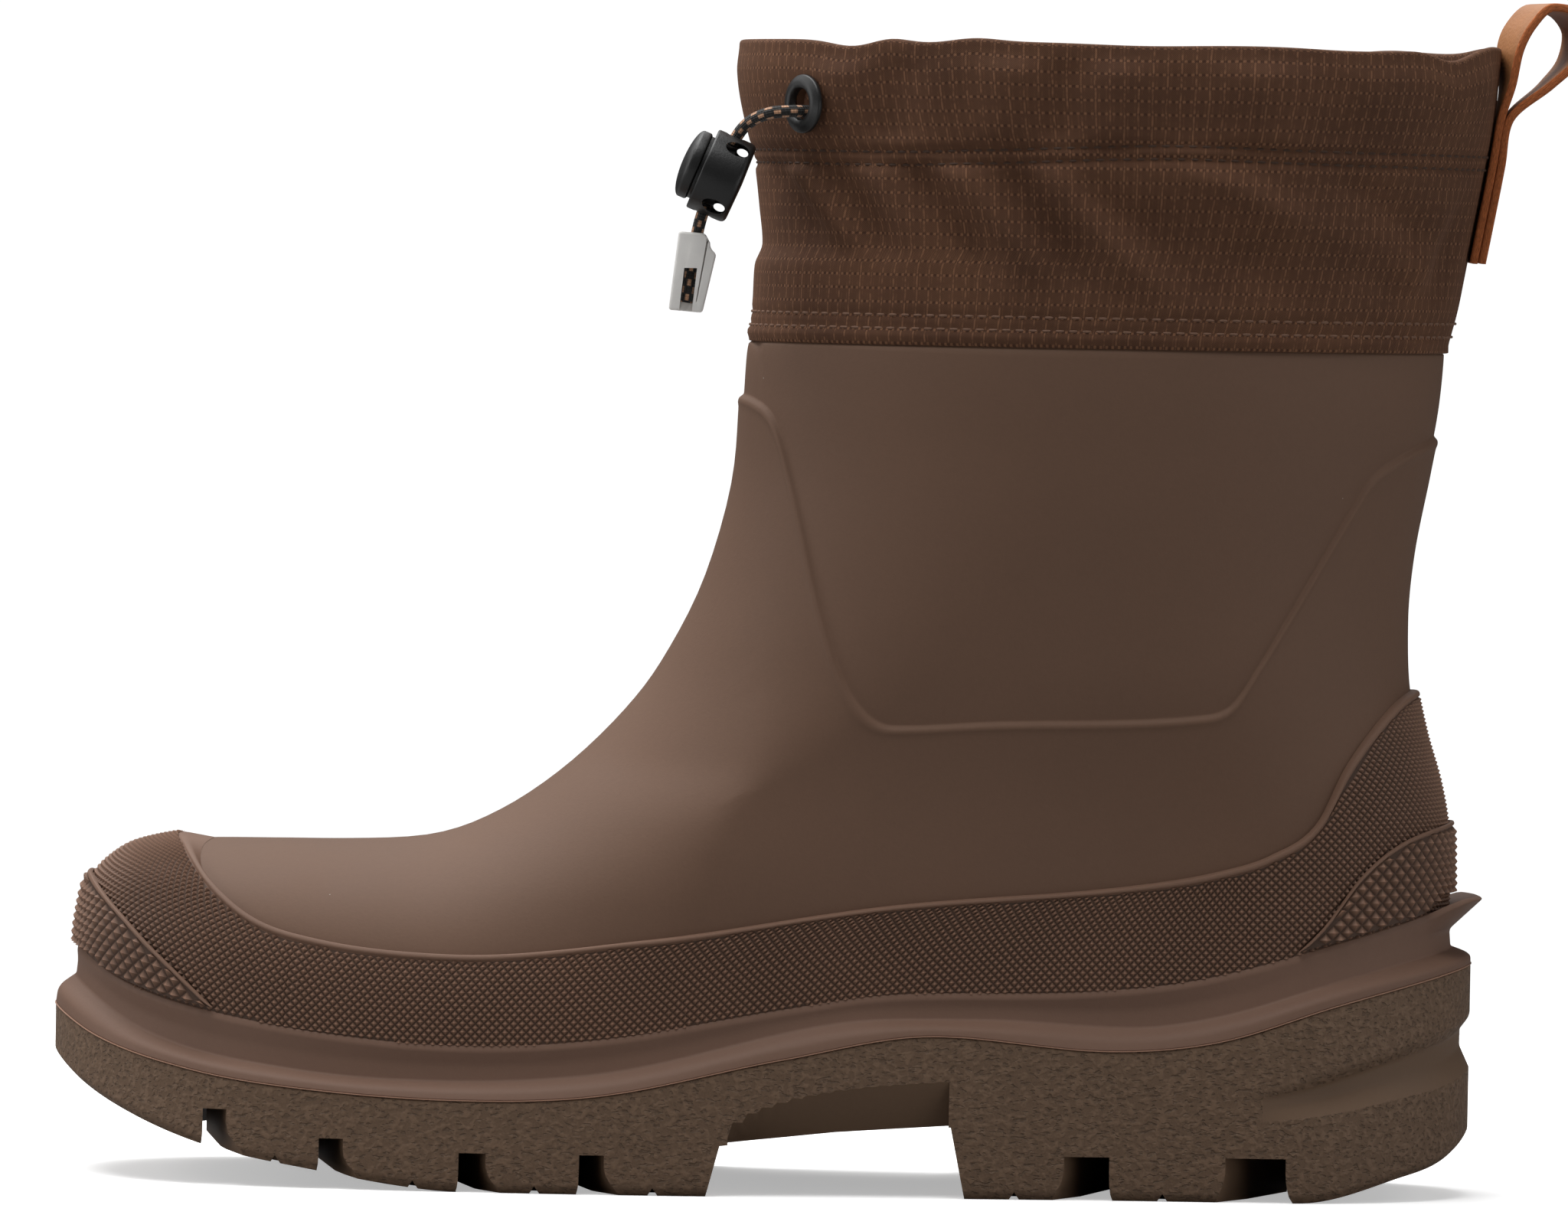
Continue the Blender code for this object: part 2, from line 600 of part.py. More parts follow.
def make_outsole(parts, cutters):
    """Rubber cup with lugs: floor, inner wall, rim, side with the heel's wedge groove, and tread."""
    edge, parting_z = sole_lines()[:2]
    rim_level = level_at(parting_z)
    rim_z = parting_z - GAP / 2
    floor = offset(0.0, SEAT, flat=True)
    bed = smooth(FOOTBED, floor[:, 0]) - GAP
    rows = [at_height(floor, bed)]
    for share in (0.5, 1.0):
        rows.append(at_height(offset(rim_level * share, SEAT, flat=True), bed + (rim_z - bed) * share))
    rows.append(at_height(edge, rim_z))
    tread_z = smooth(TREAD, edge[:, 0])
    wedge_start, wedge_end = HEEL_WEDGE_X
    wedge = np.clip((edge[:, 0] - wedge_start) / (wedge_end - wedge_start), 0.0, 1.0)
    normal = outward(rim_level, flat=True)
    for share, depth, opening in SOLE_SIDE:
        spread = 1.0 + HEEL_WEDGE_OPENING * opening * wedge
        height = HEEL_WEDGE_MIDDLE + (share - HEEL_WEDGE_MIDDLE) * spread
        inset = (HEEL_WEDGE_DEPTH * depth * wedge)[:, None]
        rows.append(at_height(edge - normal * inset, tread_z + (parting_z - tread_z) * height))
    rows.append(at_height(edge, tread_z + SOLE_EDGE))
    rows.append(at_height(edge - normal * SOLE_EDGE, tread_z))
    sole = add_capped_solid("outsole", rows, new_material("outsole"), parts)
    for i, (front_x, width, top_z, sweep, edge_y) in enumerate(GROOVES):
        middle, end = front_x + sweep, front_x + sweep * (1.0 - CUTTER_REACH / edge_y)
        outline = ((end, -CUTTER_REACH), (middle, 0.0), (end, CUTTER_REACH),
                   (end + width, CUTTER_REACH), (middle + width, 0.0), (end + width, -CUTTER_REACH))
        cut(sole, add_prism(f"groove_{i + 1}", outline, 2, BELOW_FLOOR, top_z, cutters))
    for i, (front_x, back_x, half, top_z) in enumerate(CENTRE_CHANNELS):
        outline = ((front_x, -half), (back_x, -half), (back_x, half), (front_x, half))
        cut(sole, add_prism(f"channel_{i + 1}", outline, 2, BELOW_FLOOR, top_z, cutters))
    cut(sole, add_prism("arch", ARCH, 1, -CUTTER_REACH, CUTTER_REACH, cutters))
    inside = (edge[:, 0] > SCOOP_X[0]) & (edge[:, 0] < SCOOP_X[1])
    low, high = SCOOP_Z
    for name, side in (("outer", -1.0), ("inner", 1.0)):
        reach = side * np.max(side * edge[inside, 1])
        foot, far = reach - side * SCOOP_DEPTH, side * CUTTER_REACH
        top = high + SCOOP_RISE
        outline = ((far, low), (foot, low), (foot, high), (reach, top), (far, top))
        cut(sole, add_prism(f"scoop_{name}", outline, 0, *SCOOP_X, cutters))
    return sole


def make_welt(parts):
    """Ring above the parting line: sloped ledge, plain band with the heel spur, and rim to the shell."""
    edge, parting_z, ledge_z, band_z, spur = sole_lines()
    low, middle, top = level_at(parting_z), level_at(ledge_z), level_at(band_z)
    base = parting_z + GAP / 2
    rise = SPUR_RISE * spur
    reach = BAND_PROUD + SPUR_REACH * spur
    foot = (RAND_THICKNESS + GAP) * np.minimum(SPUR_FOOT * spur, 1.0)
    rows = [
        at_height(edge, base),
        at_height(offset(low, LEDGE_PROUD, flat=True), base + WELT_LIP),
        at_height(offset(middle, BAND_PROUD + BAND_FLARE, flat=True), ledge_z),
        at_height(offset(middle, BAND_PROUD, flat=True), ledge_z + BAND_WAIST * (band_z - ledge_z)),
        at_height(offset(top, reach, flat=True), band_z - WELT_LIP + rise + 0.5 * WELT_LIP * spur),
        at_height(offset(top, reach - BAND_ROUND - SPUR_EDGE * spur, flat=True), band_z + rise),
        at_height(offset(top, SEAT + foot, flat=True), band_z),
        at_height(offset(top, SEAT, flat=True), band_z - GAP - SPUR_EDGE * spur),
        at_height(offset(0.5 * (low + top), SEAT, flat=True), 0.5 * (base + band_z)),
        at_height(offset(low, SEAT, flat=True), base),
    ]
    return add_ring_solid("welt", rows, new_material("welt"), parts)


def rand_levels():
    """Levels of the shell's rows behind the rand, from the welt to the rand's top line."""
    low = level_at(sole_lines()[3] + GAP)
    top = level_at(RAND_TOP)
    return [low + (top - low) * share for share in RAND_SHARES]


def make_upper(parts):
    """Hollow shell: raised vamp and counter below the panel's edge, plain shaft panel above it."""
    edge = level_at(PANEL_EDGE)
    behind = rand_levels()
    raised = [0.0 * edge, 0.5 * behind[0]] + behind
    raised += [behind[-1] + (edge - behind[-1]) * share for share in VAMP_SHARES]
    plain = [edge + PANEL_BEVEL] + [edge + (SHOULDER_RING - edge) * share for share in SHAFT_SHARES]
    plain += [SHOULDER_RING + 1.0, TOP_RING]
    rows = [offset(level, PANEL_STEP) for level in raised]
    rows += [offset(level, 0.0) for level in plain]
    rows += [offset(level, -WALL) for level in INNER_RINGS]
    rows[0] = at_height(rows[0], smooth(FOOTBED, rows[0][:, 0]))
    rows[-1] = at_height(rows[-1], smooth(FOOTBED, rows[-1][:, 0]))
    return add_ring_solid("upper", rows, new_material("upper"), parts)


def make_rand(parts):
    """Band round the foot between two forms of the shell, from the welt up to the rand's top line."""
    levels = rand_levels()
    rows = [offset(level, SEAT + RAND_THICKNESS) for level in levels]
    rows += [offset(level, SEAT) for level in reversed(levels)]
    band_z = sole_lines()[3] + GAP
    rows[0] = at_height(rows[0], band_z)
    rows[-1] = at_height(rows[-1], band_z)
    return add_ring_solid("rand", rows, new_material("rand"), parts)


def make_guard(name, line, centre, parts, material):
    """Patch on the rand below a side line, at the toe (column 0) or the heel (middle column)."""
    _, _, _, band_z, spur = sole_lines()
    low = level_at(band_z + 2 * GAP + SPUR_RISE * spur)
    high = level_at(line)
    inner = SEAT + RAND_THICKNESS + GAP
    outer = inner + GUARD_THICKNESS
    shown = np.roll(high - low, HALF_COLUMNS - centre) > GUARD_LEAST
    reach = 0
    while shown[HALF_COLUMNS + reach + 1] and shown[HALF_COLUMNS - reach - 1]:
        reach += 1
    keep = np.arange(centre - reach, centre + reach + 1) % (2 * HALF_COLUMNS)
    levels = [low + (high - low) * share for share in GUARD_SHARES]
    rows = [offset(level, outer)[keep] for level in levels]
    rows += [offset(level, inner)[keep] for level in reversed(levels)]
    return add_patch_solid(name, rows, material, parts)


def make_insole(parts):
    """Footbed plate inside the shell."""
    ring = offset(0.0, -WALL - INSOLE_PLAY, flat=True)
    bed = smooth(FOOTBED, ring[:, 0]) + GAP
    top = offset(level_at(bed + INSOLE_THICKNESS), -WALL - INSOLE_PLAY, flat=True)
    rows = [at_height(ring, bed), at_height(top, smooth(FOOTBED, top[:, 0]) + GAP + INSOLE_THICKNESS)]
    return add_capped_solid("insole", rows, new_material("insole"), parts)


def cuff_ring(z, inset=0.0):
    """Level ring of the cuff at a height, drawn in by its wall where wanted."""
    place, side = columns()
    front = column(CUFF, 1, z) + inset
    back = column(CUFF, 2, z) - inset
    width = column(CUFF, 3, z) - inset
    x = along(place, front, back)
    y = side * width * bulge((x - front) / CUFF_ROUND[0]) * bulge((back - x) / CUFF_ROUND[1])
    return np.stack((x, y, np.full(place.shape, float(z))), axis=-1)


def make_cuff(parts, cutters, eyelet_frame):
    """Fabric tube over the shaft's top, open above, with a hole behind the eyelet."""
    rows = [cuff_ring(z) for z in CUFF_OUTER_Z] + [cuff_ring(z, CUFF_WALL) for z in CUFF_INNER_Z]
    cuff = add_ring_solid("cuff", rows, new_material("cuff"), parts)
    cut(cuff, add_cylinder("cuff_hole", EYELET_BORE, 2 * LOCK_LENGTH, eyelet_frame, 16, cutters))
    return cuff


def eyelet_place():
    """Frame of the eyelet on the cuff's outer side, turned a little more to the front."""
    outer = cuff_ring(EYELET_Z)[:HALF_COLUMNS + 1]
    before, here, after = np.interp((EYELET_X - 1.0, EYELET_X, EYELET_X + 1.0), outer[:, 0], outer[:, 1])
    angle = math.atan2(-2.0, after - before) - EYELET_EXTRA_TURN
    normal = Vector((math.cos(angle), math.sin(angle), 0.0))
    lift = EYELET_THICKNESS / 2 + GAP + EYELET_RADIUS * math.sin(EYELET_EXTRA_TURN)
    return axis_frame(Vector((EYELET_X, here, EYELET_Z)) + normal * lift, normal)


def make_eyelet(parts, cutters, frame, material):
    """Plastic ring with a chamfered outer edge."""
    ring = add_cylinder("eyelet", EYELET_RADIUS, EYELET_THICKNESS, frame, 24, parts, material,
                        top_radius=EYELET_RADIUS - EYELET_CHAMFER)
    cut(ring, add_cylinder("eyelet_bore", EYELET_BORE, 4 * EYELET_THICKNESS, frame, 16, cutters))
    return ring


def make_pull_loop(parts):
    """Leather strip carried along its path: up the back of the cuff, round the loop and down again."""
    inner_x = [float(column(CUFF, 2, z)) + GAP + LOOP_STRIP / 2 for z in LOOP_FOOT_Z]
    inner = list(zip(inner_x, LOOP_FOOT_Z))
    outer = [(x + LOOP_STRIP + GAP, z) for x, z in reversed(inner)]
    path = np.array(inner + list(LOOP_FRONT_LEG) + list(LOOP_TOP) + list(LOOP_BACK_LEG) + outer)
    tangent = np.gradient(path, axis=0)
    tangent /= np.linalg.norm(tangent, axis=1, keepdims=True)
    normal = np.column_stack((tangent[:, 1], -tangent[:, 0])) * LOOP_STRIP / 2
    twist = LOOP_TWIST * ease(path[:, 1], *LOOP_TWIST_Z)
    rows = []
    for side, face in ((-1, -1), (1, -1), (1, 1), (-1, 1)):
        across = side * LOOP_WIDTH / 2
        flat = path + face * normal
        x = flat[:, 0] + across * np.sin(twist)
        rows.append(np.column_stack((x, across * np.cos(twist), flat[:, 1])))
    return add_patch_solid("pull_loop", rows, new_material("pull_loop"), parts)


def lock_axis():
    """Unit direction from the lock's closed end to its button."""
    return Vector((-math.cos(LOCK_SLOPE), 0.0, math.sin(LOCK_SLOPE)))


def hole_axis():
    """Unit direction of the lock's hole for the cord, upwards."""
    return Vector((math.sin(LOCK_SLOPE), 0.0, math.cos(LOCK_SLOPE)))


def on_lock(distance):
    """Point of the lock's axis at a distance from the barrel's middle towards the button."""
    return Vector(LOCK_CENTRE) + lock_axis() * distance


def make_cord_lock(parts, cutters, material):
    """Barrel open at the button's end, with a hole across it for the cord."""
    axis = lock_axis()
    barrel = add_cylinder("cord_lock", LOCK_RADIUS, LOCK_LENGTH, axis_frame(on_lock(0.0), axis), 28, parts,
                          material)
    bore_frame = axis_frame(on_lock(LOCK_FLOOR), axis)
    cut(barrel, add_cylinder("lock_bore", LOCK_BORE_RADIUS, LOCK_LENGTH, bore_frame, 28, cutters))
    hole_frame = axis_frame(on_lock(LOCK_HOLE_SHIFT), hole_axis())
    cut(barrel, add_cylinder("lock_hole", LOCK_CORD_HOLE, 4 * LOCK_RADIUS, hole_frame, 14, cutters))
    return barrel


def make_button(parts, cutters, material):
    """Turned plunger on the lock's axis: a domed cap, and a stem that is forked for the cord."""
    mouth = LOCK_LENGTH / 2
    seat = mouth + BUTTON_GAP
    stem_end = mouth - BUTTON_STEM
    profile = [(0.0, seat + BUTTON_RIM + BUTTON_DOME)]
    for turn in np.radians(BUTTON_TURNS):
        profile.append((BUTTON_RADIUS * math.sin(turn), seat + BUTTON_RIM + BUTTON_DOME * math.cos(turn)))
    profile += [(BUTTON_RADIUS, seat), (BUTTON_STEM_RADIUS, seat - GAP)]
    profile += [(BUTTON_STEM_RADIUS, stem_end), (0.0, stem_end)]
    mesh = bpy.data.meshes.new("cord_lock_button")
    points = [(r * MM, 0.0, h * MM) for r, h in profile]
    mesh.from_pydata(points, [(i, i + 1) for i in range(len(points) - 1)], [])
    mesh.materials.append(material)
    button = bpy.data.objects.new("cord_lock_button", mesh)
    button.matrix_world = axis_frame(on_lock(0.0), lock_axis())
    parts.objects.link(button)
    turned = button.modifiers.new("turned", "SCREW")
    turned.steps = turned.render_steps = BUTTON_STEPS
    turned.use_merge_vertices = True
    turned.merge_threshold = 0.00001
    turned.use_normal_calculate = True
    slot_low = stem_end - BUTTON_TRAVEL
    slot_high = LOCK_HOLE_SHIFT + CORD_DIAMETER / 2 + GAP + BUTTON_TRAVEL
    slot = bpy.data.objects.new("button_slot", bpy.data.meshes.new("button_slot"))
    solid = bmesh.new()
    bmesh.ops.create_cube(solid, size=MM)
    size = Vector((4 * LOCK_RADIUS, BUTTON_SLOT, slot_high - slot_low))
    bmesh.ops.scale(solid, vec=size, verts=solid.verts)
    solid.to_mesh(slot.data)
    solid.free()
    slot.matrix_world = lock_frame_across(0.5 * (slot_low + slot_high))
    cutters.objects.link(slot)
    cut(button, slot)
    return button


def lock_frame_across(distance):
    """Frame on the lock's axis: Z to the button, X along the cord's hole, Y across both."""
    axis, hole = lock_axis(), hole_axis()
    turn = Matrix((hole, axis.cross(hole), axis)).transposed().to_4x4()
    return Matrix.Translation(Vector(place_points(on_lock(distance)))) @ turn


def cord_points(steps):
    """Evenly placed points on a smooth curve through the cord's route."""
    route = np.array(CORD_ROUTE)
    travel = np.concatenate(((0.0,), np.cumsum(np.linalg.norm(np.diff(route, axis=0), axis=1))))
    even = np.linspace(0.0, travel[-1], steps)
    return np.column_stack([smooth(np.column_stack((travel, route[:, i])), even) for i in range(3)])


def make_drawcord(parts):
    """Tube along the cord's free stretch."""
    points = place_points(cord_points(CORD_STEPS))
    curve = bpy.data.curves.new("drawcord", "CURVE")
    curve.dimensions = "3D"
    curve.bevel_depth = CORD_DIAMETER / 2 * MM
    curve.bevel_resolution = 2
    curve.use_fill_caps = True
    spline = curve.splines.new("POLY")
    spline.points.add(len(points) - 1)
    spline.points.foreach_set("co", np.column_stack((points, np.ones(len(points)))).ravel())
    cord = bpy.data.objects.new("drawcord", curve)
    curve.materials.append(new_material("drawcord"))
    parts.objects.link(cord)
    return cord


def make_cord_end(parts, cutters):
    """Clip with a bore for the cord and a slot that shows it near the bottom."""
    x, y, _ = CORD_ROUTE[-1]
    clip = add_prism("cord_end", CLIP_OUTLINE, 1, y - CLIP_DEPTH / 2, y + CLIP_DEPTH / 2, parts,
                     new_material("cord_end"))
    top, bottom = Vector(CORD_ROUTE[-4]), Vector(CORD_ROUTE[-1])
    bore_frame = axis_frame(0.5 * (top + bottom), top - bottom)
    cut(clip, add_cylinder("clip_bore", CLIP_BORE, 2 * (top - bottom).length, bore_frame, 12, cutters))
    low, high = CLIP_SLOT_Z
    outline = [(x + lean + side * CLIP_SLOT_HALF, z)
               for side, lean, z in ((-1, CLIP_SLOT_LEAN[0], low), (1, CLIP_SLOT_LEAN[0], low),
                                     (1, CLIP_SLOT_LEAN[1], high), (-1, CLIP_SLOT_LEAN[1], high))]
    cut(clip, add_prism("clip_slot", outline, 1, y - CLIP_DEPTH, y, cutters))
    return clip


def main():
    """Clear the scene and build every sub-part."""
    for thing in list(bpy.data.objects):
        bpy.data.objects.remove(thing, do_unlink=True)
    parts = bpy.data.collections.new("winter_boot")
    cutters = bpy.data.collections.new("cutters")
    for collection in (parts, cutters):
        bpy.context.scene.collection.children.link(collection)
    hardware = new_material("hardware")
    guard = new_material("guard")
    eyelet_frame = eyelet_place()
    make_outsole(parts, cutters)
    make_welt(parts)
    make_upper(parts)
    make_rand(parts)
    make_guard("toe_guard", TOE_GUARD_TOP, 0, parts, guard)
    make_guard("heel_guard", HEEL_GUARD_TOP, HALF_COLUMNS, parts, guard)
    make_insole(parts)
    make_cuff(parts, cutters, eyelet_frame)
    make_pull_loop(parts)
    make_eyelet(parts, cutters, eyelet_frame, hardware)
    make_drawcord(parts)
    make_cord_lock(parts, cutters, hardware)
    make_button(parts, cutters, hardware)
    make_cord_end(parts, cutters)


main()
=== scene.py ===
"""Winter boot: surfaces and finishes of a rubber boot with a fabric cuff, one operator for each piece.

Lengths in the shape code are millimetres. X runs from the toe tip to the heel, Y from the outer to the
inner side of the left boot and Z up from the floor; to_frame brings points to the frame's metres.
"""

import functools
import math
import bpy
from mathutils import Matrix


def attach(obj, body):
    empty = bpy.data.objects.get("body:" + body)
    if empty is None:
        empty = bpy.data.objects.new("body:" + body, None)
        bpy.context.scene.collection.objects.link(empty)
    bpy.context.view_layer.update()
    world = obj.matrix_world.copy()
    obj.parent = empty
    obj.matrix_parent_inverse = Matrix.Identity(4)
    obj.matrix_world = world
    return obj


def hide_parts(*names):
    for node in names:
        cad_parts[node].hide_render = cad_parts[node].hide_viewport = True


bl_info = {
    "name": "Winter Boot",
    "version": (1, 0, 0),
    "blender": (4, 5, 0),
    "location": "View3D > Sidebar > Boot",
    "description": "Builds the surfaces and finishes of a winter boot around its solids",
    "category": "Add Mesh",
}

import bmesh
import bpy
import numpy as np
from bpy.props import FloatProperty, FloatVectorProperty, PointerProperty
from mathutils import Matrix, Vector

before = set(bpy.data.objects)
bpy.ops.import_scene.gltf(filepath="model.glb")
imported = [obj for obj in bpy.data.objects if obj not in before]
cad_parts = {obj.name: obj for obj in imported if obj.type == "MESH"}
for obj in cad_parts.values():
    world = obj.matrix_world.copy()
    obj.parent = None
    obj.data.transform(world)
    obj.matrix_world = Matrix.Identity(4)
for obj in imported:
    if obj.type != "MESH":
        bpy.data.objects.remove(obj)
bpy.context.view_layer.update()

# Units and the place of the frame's origin
MM = 0.001
ORIGIN_X = 155.3
WELD = 0.002
UP = (0.0, 0.0, 1.0)

# Driving sizes of the solids
GAP = 0.3
WALL = 2.1
PANEL_STEP = 0.9
SEAT = PANEL_STEP + GAP
RAND_THICKNESS = 1.6
GUARD_THICKNESS = 0.9
BAND_PROUD = 2.9
LEDGE_PROUD = 7.4
INSOLE_THICKNESS = 4.0
INSOLE_PLAY = 1.0
INSOLE_BAND = 4.0
INSOLE_SOFT = (0.0, 1.2, 0.0)
CUFF_WALL = 1.6

# Columns round the boot: turn 0 at the toe, 1 at the heel by the outer side, 2 at the toe again
HALF_COLUMNS = 180
TURNS = np.arange(2 * HALF_COLUMNS) / HALF_COLUMNS
TURN_STEP = 1.0 / 64.0
LEVEL_STEP = 0.05
LEVEL_STEPS = 401
FINE_STEPS = 801
SLOPE_LIMIT = 2.5
SOFT_LIMIT = 0.45

# Angles in degrees over which an edge stays sharp
CLOTH_SHARP = 60.0
SHELL_SHARP = 60.0
KNURL_SHARP = 28.0
WELT_SHARP = 50.0
SOLE_SHARP = 32.0

# Rings of the shell from the feather edge to the shaft top: each lies in a plane across the boot
# through a point of the toe, vamp and shin line and a point of the back line
RINGS = np.array([
    # front_x, front_z, back_x, back_z, rocker
    (9.0, 27.6, 279.5, 28.3, 1.00),
    (7.8, 38.0, 280.4, 33.0, 0.90),
    (7.5, 46.2, 281.0, 37.0, 0.80),
    (8.2, 52.8, 281.4, 41.0, 0.72),
    (9.6, 58.4, 281.6, 45.0, 0.65),
    (13.0, 62.2, 281.7, 48.0, 0.60),
    (18.4, 65.0, 281.8, 51.0, 0.55),
    (30.0, 67.0, 281.9, 56.0, 0.50),
    (46.0, 67.3, 281.9, 61.0, 0.45),
    (60.1, 67.5, 281.8, 67.0, 0.40),
    (77.6, 68.9, 281.5, 75.0, 0.35),
    (91.1, 74.2, 279.8, 84.0, 0.30),
    (104.3, 83.4, 276.8, 94.0, 0.25),
    (116.3, 95.3, 274.6, 105.0, 0.20),
    (124.5, 106.8, 274.2, 117.0, 0.15),
    (132.4, 123.3, 275.3, 131.0, 0.10),
    (137.7, 144.0, 278.2, 147.0, 0.05),
    (138.7, 159.1, 280.4, 160.0, 0.00),
    (139.6, 171.0, 281.3, 171.2, 0.00),
    (142.0, 173.0, 279.2, 173.1, 0.00),
    (142.2, 184.0, 279.4, 184.0, 0.00),
])
TOE_RINGS = 5
RIDGE_RING = 2
SHIN_RING = 11
SHOULDER_RING = 18.0
TOP_RING = 20.0
FOOT_WIDTH = np.array([
    # x, lateral, medial
    (0.0, 44.0, 43.0),
    (60.0, 46.0, 45.0),
    (84.0, 46.8, 45.5),
    (108.0, 47.0, 44.0),
    (178.0, 39.5, 34.5),
    (240.0, 34.8, 34.5),
    (290.0, 34.5, 34.5),
])
SHAFT = np.array([
    # z, half_width, front_round, back_round
    (28.0, 38.0, 40.0, 40.0),
    (70.0, 38.0, 40.0, 42.0),
    (105.0, 41.0, 54.0, 50.0),
    (150.0, 45.5, 68.0, 62.0),
    (171.0, 47.0, 70.0, 66.0),
    (173.0, 45.0, 70.0, 66.0),
    (184.0, 45.2, 70.0, 66.0),
])
VAMP_ROUND = ((0.0, 24.0), (30.0, 28.0), (80.0, 34.0), (140.0, 60.0), (300.0, 60.0))
TOE_ROUND = 44.0
TOE_FADE = (60.0, 85.0)
TOE_TURN = 8.0
TURN_START_X = 110.0
TURN_POWER = 1.6
ROUND_POWER = 2.15
FOOT_TO_SHAFT = (58.0, 108.0)
SHIN_RUN = 9.0
SHIN_BLEND = 12.0
TOE_RUN = 1.3
RIDGE_FALL = 30.0
TUCK_SHARE = 0.07
TUCK_HEIGHT = 16.0
END_SHARE = 0.28
NOSE_RUN = 42.0
TAIL_RUN = 40.0
NOSE_LIMIT = 0.32
TAIL_LIMIT = 0.30

# Side lines of the boot, as x and z
FOOTBED = ((9.0, 27.6), (30.0, 20.0), (60.0, 15.4), (86.0, 14.5), (112.0, 15.6), (140.0, 19.8),
           (165.0, 24.6), (190.0, 27.4), (215.0, 28.2), (279.5, 28.3))
PARTING = ((0.0, 34.1), (10.0, 28.7), (30.0, 23.1), (51.0, 20.2), (86.0, 18.4), (112.0, 19.8),
           (149.0, 27.6), (180.0, 32.7), (215.0, 30.1), (236.0, 32.1), (261.0, 39.9), (290.0, 47.6))
LEDGE = ((3.4, 40.7), (20.0, 30.4), (51.0, 23.6), (81.0, 22.0), (112.0, 24.0), (170.0, 35.7),
         (190.0, 35.9), (219.0, 34.7), (236.0, 36.9), (261.0, 44.5), (286.0, 51.1))
RAND_LOW = ((4.4, 46.4), (14.6, 40.5), (32.0, 35.3), (71.0, 29.8), (86.0, 29.3), (112.0, 31.0),
            (149.0, 37.6), (170.0, 40.8), (210.0, 42.0), (231.0, 44.5), (266.0, 53.9), (282.0, 58.6))
RAND_TOP = ((0.0, 72.0), (24.0, 68.8), (33.0, 59.2), (42.0, 52.7), (55.0, 48.9), (83.0, 46.6),
            (122.0, 50.9), (169.0, 58.3), (220.0, 63.3), (236.0, 66.2), (247.0, 69.9), (256.0, 76.6),
            (261.0, 87.0), (267.0, 95.8), (272.5, 101.3), (277.0, 103.0))
TOE_GUARD_TOP = ((0.0, 62.0), (8.4, 60.2), (22.4, 47.5), (37.4, 33.6))
HEEL_GUARD_TOP = ((249.0, 47.5), (257.0, 55.7), (264.0, 66.0), (271.0, 72.2), (285.0, 76.9))
PANEL_EDGE = ((137.0, 160.0), (141.0, 159.0), (145.0, 155.5), (147.2, 149.8), (155.4, 116.0),
              (159.2, 104.2), (163.4, 97.2), (169.6, 94.0), (189.0, 95.1), (232.8, 97.3), (238.5, 99.6),
              (243.0, 106.5), (262.0, 139.6), (265.5, 145.3), (270.0, 148.8), (281.0, 154.6))
TREAD = ((0.0, 23.6), (5.0, 19.6), (15.0, 14.2), (32.0, 8.1), (57.0, 3.4), (72.0, 1.0), (84.0, 0.0),
         (254.0, 0.0), (274.0, 4.6), (286.0, 9.0), (290.0, 13.0))

# Upper: rows of levels, and the rounded edge of its raised panel in parts of the bevel
PANEL_BEVEL = 0.085
PANEL_LIP = 0.2
PANEL_ROWS = (-3.0, -2.0, -1.4, -1.0, -0.7, -0.4, -0.15, 0.1, 0.3, 0.5, 0.7, 0.9, 1.1, 1.5)
PANEL_LIP_PART = -0.55
PANEL_LIP_WIDTH = 0.6
HIDDEN_SHARES = (0.0, 0.3, 0.6, 0.85, 0.97)
SHOULDER_STEPS = (0.4, 1.0, 1.5, 2.0)
SHELL_ROUGH = 0.7
VAMP_ROWS = 46
SHAFT_ROWS = 26
LINING_ROWS = 24

# Pale dust on the rubber
DUST = (0.42, 0.38, 0.34)

# Rand and guards: plain lips, and how deep the knurled field lies under them
RAND_LIP = 1.0
RAND_FEATHER = (0.3, 5.2)
RAND_FEATHER_END = 0.16
RAND_TOE_DROP = 0.5
GUARD_LIP = 0.6
KNURL_SINK = 0.55
KNURL_TUCK = 0.06
# Share of the height map on the plain lips, which sets their tone between the painted shade and the painted
# highlight
PLAIN_SHARE = 0.45
KNURL_LEVEL = 3.0
KNURL_SAMPLES = 160
RAND_START = (-1.0, -0.2)
RAND_FIELD_DROP = 1.35
RAND_FIELD_ROWS = 16
RAND_CREST_FALL = 0.15
RAND_FEATHER_LIFT = 0.05
RAND_SEAT_PLAY = 0.2
RAND_SOFT = (0.0,) * 15 + (0.15, 0.35, 0.7, 0.0, 0.0, 0.0, 0.0)
RAND_ROUGH = 0.62
GUARD_COLUMNS = 150
GUARD_LIFT = 0.2
GUARD_SEARCH = 2001
GUARD_OPEN = 0.02
GUARD_LIP_SHARE = 0.45
GUARD_FIELD_DROP = 1.3
GUARD_FIELD_ROWS = 12
GUARD_CREST_FALL = 0.1
GUARD_SOFT = (0.0,) * 11 + (0.15, 0.3, 0.5, 0.0, 0.0)

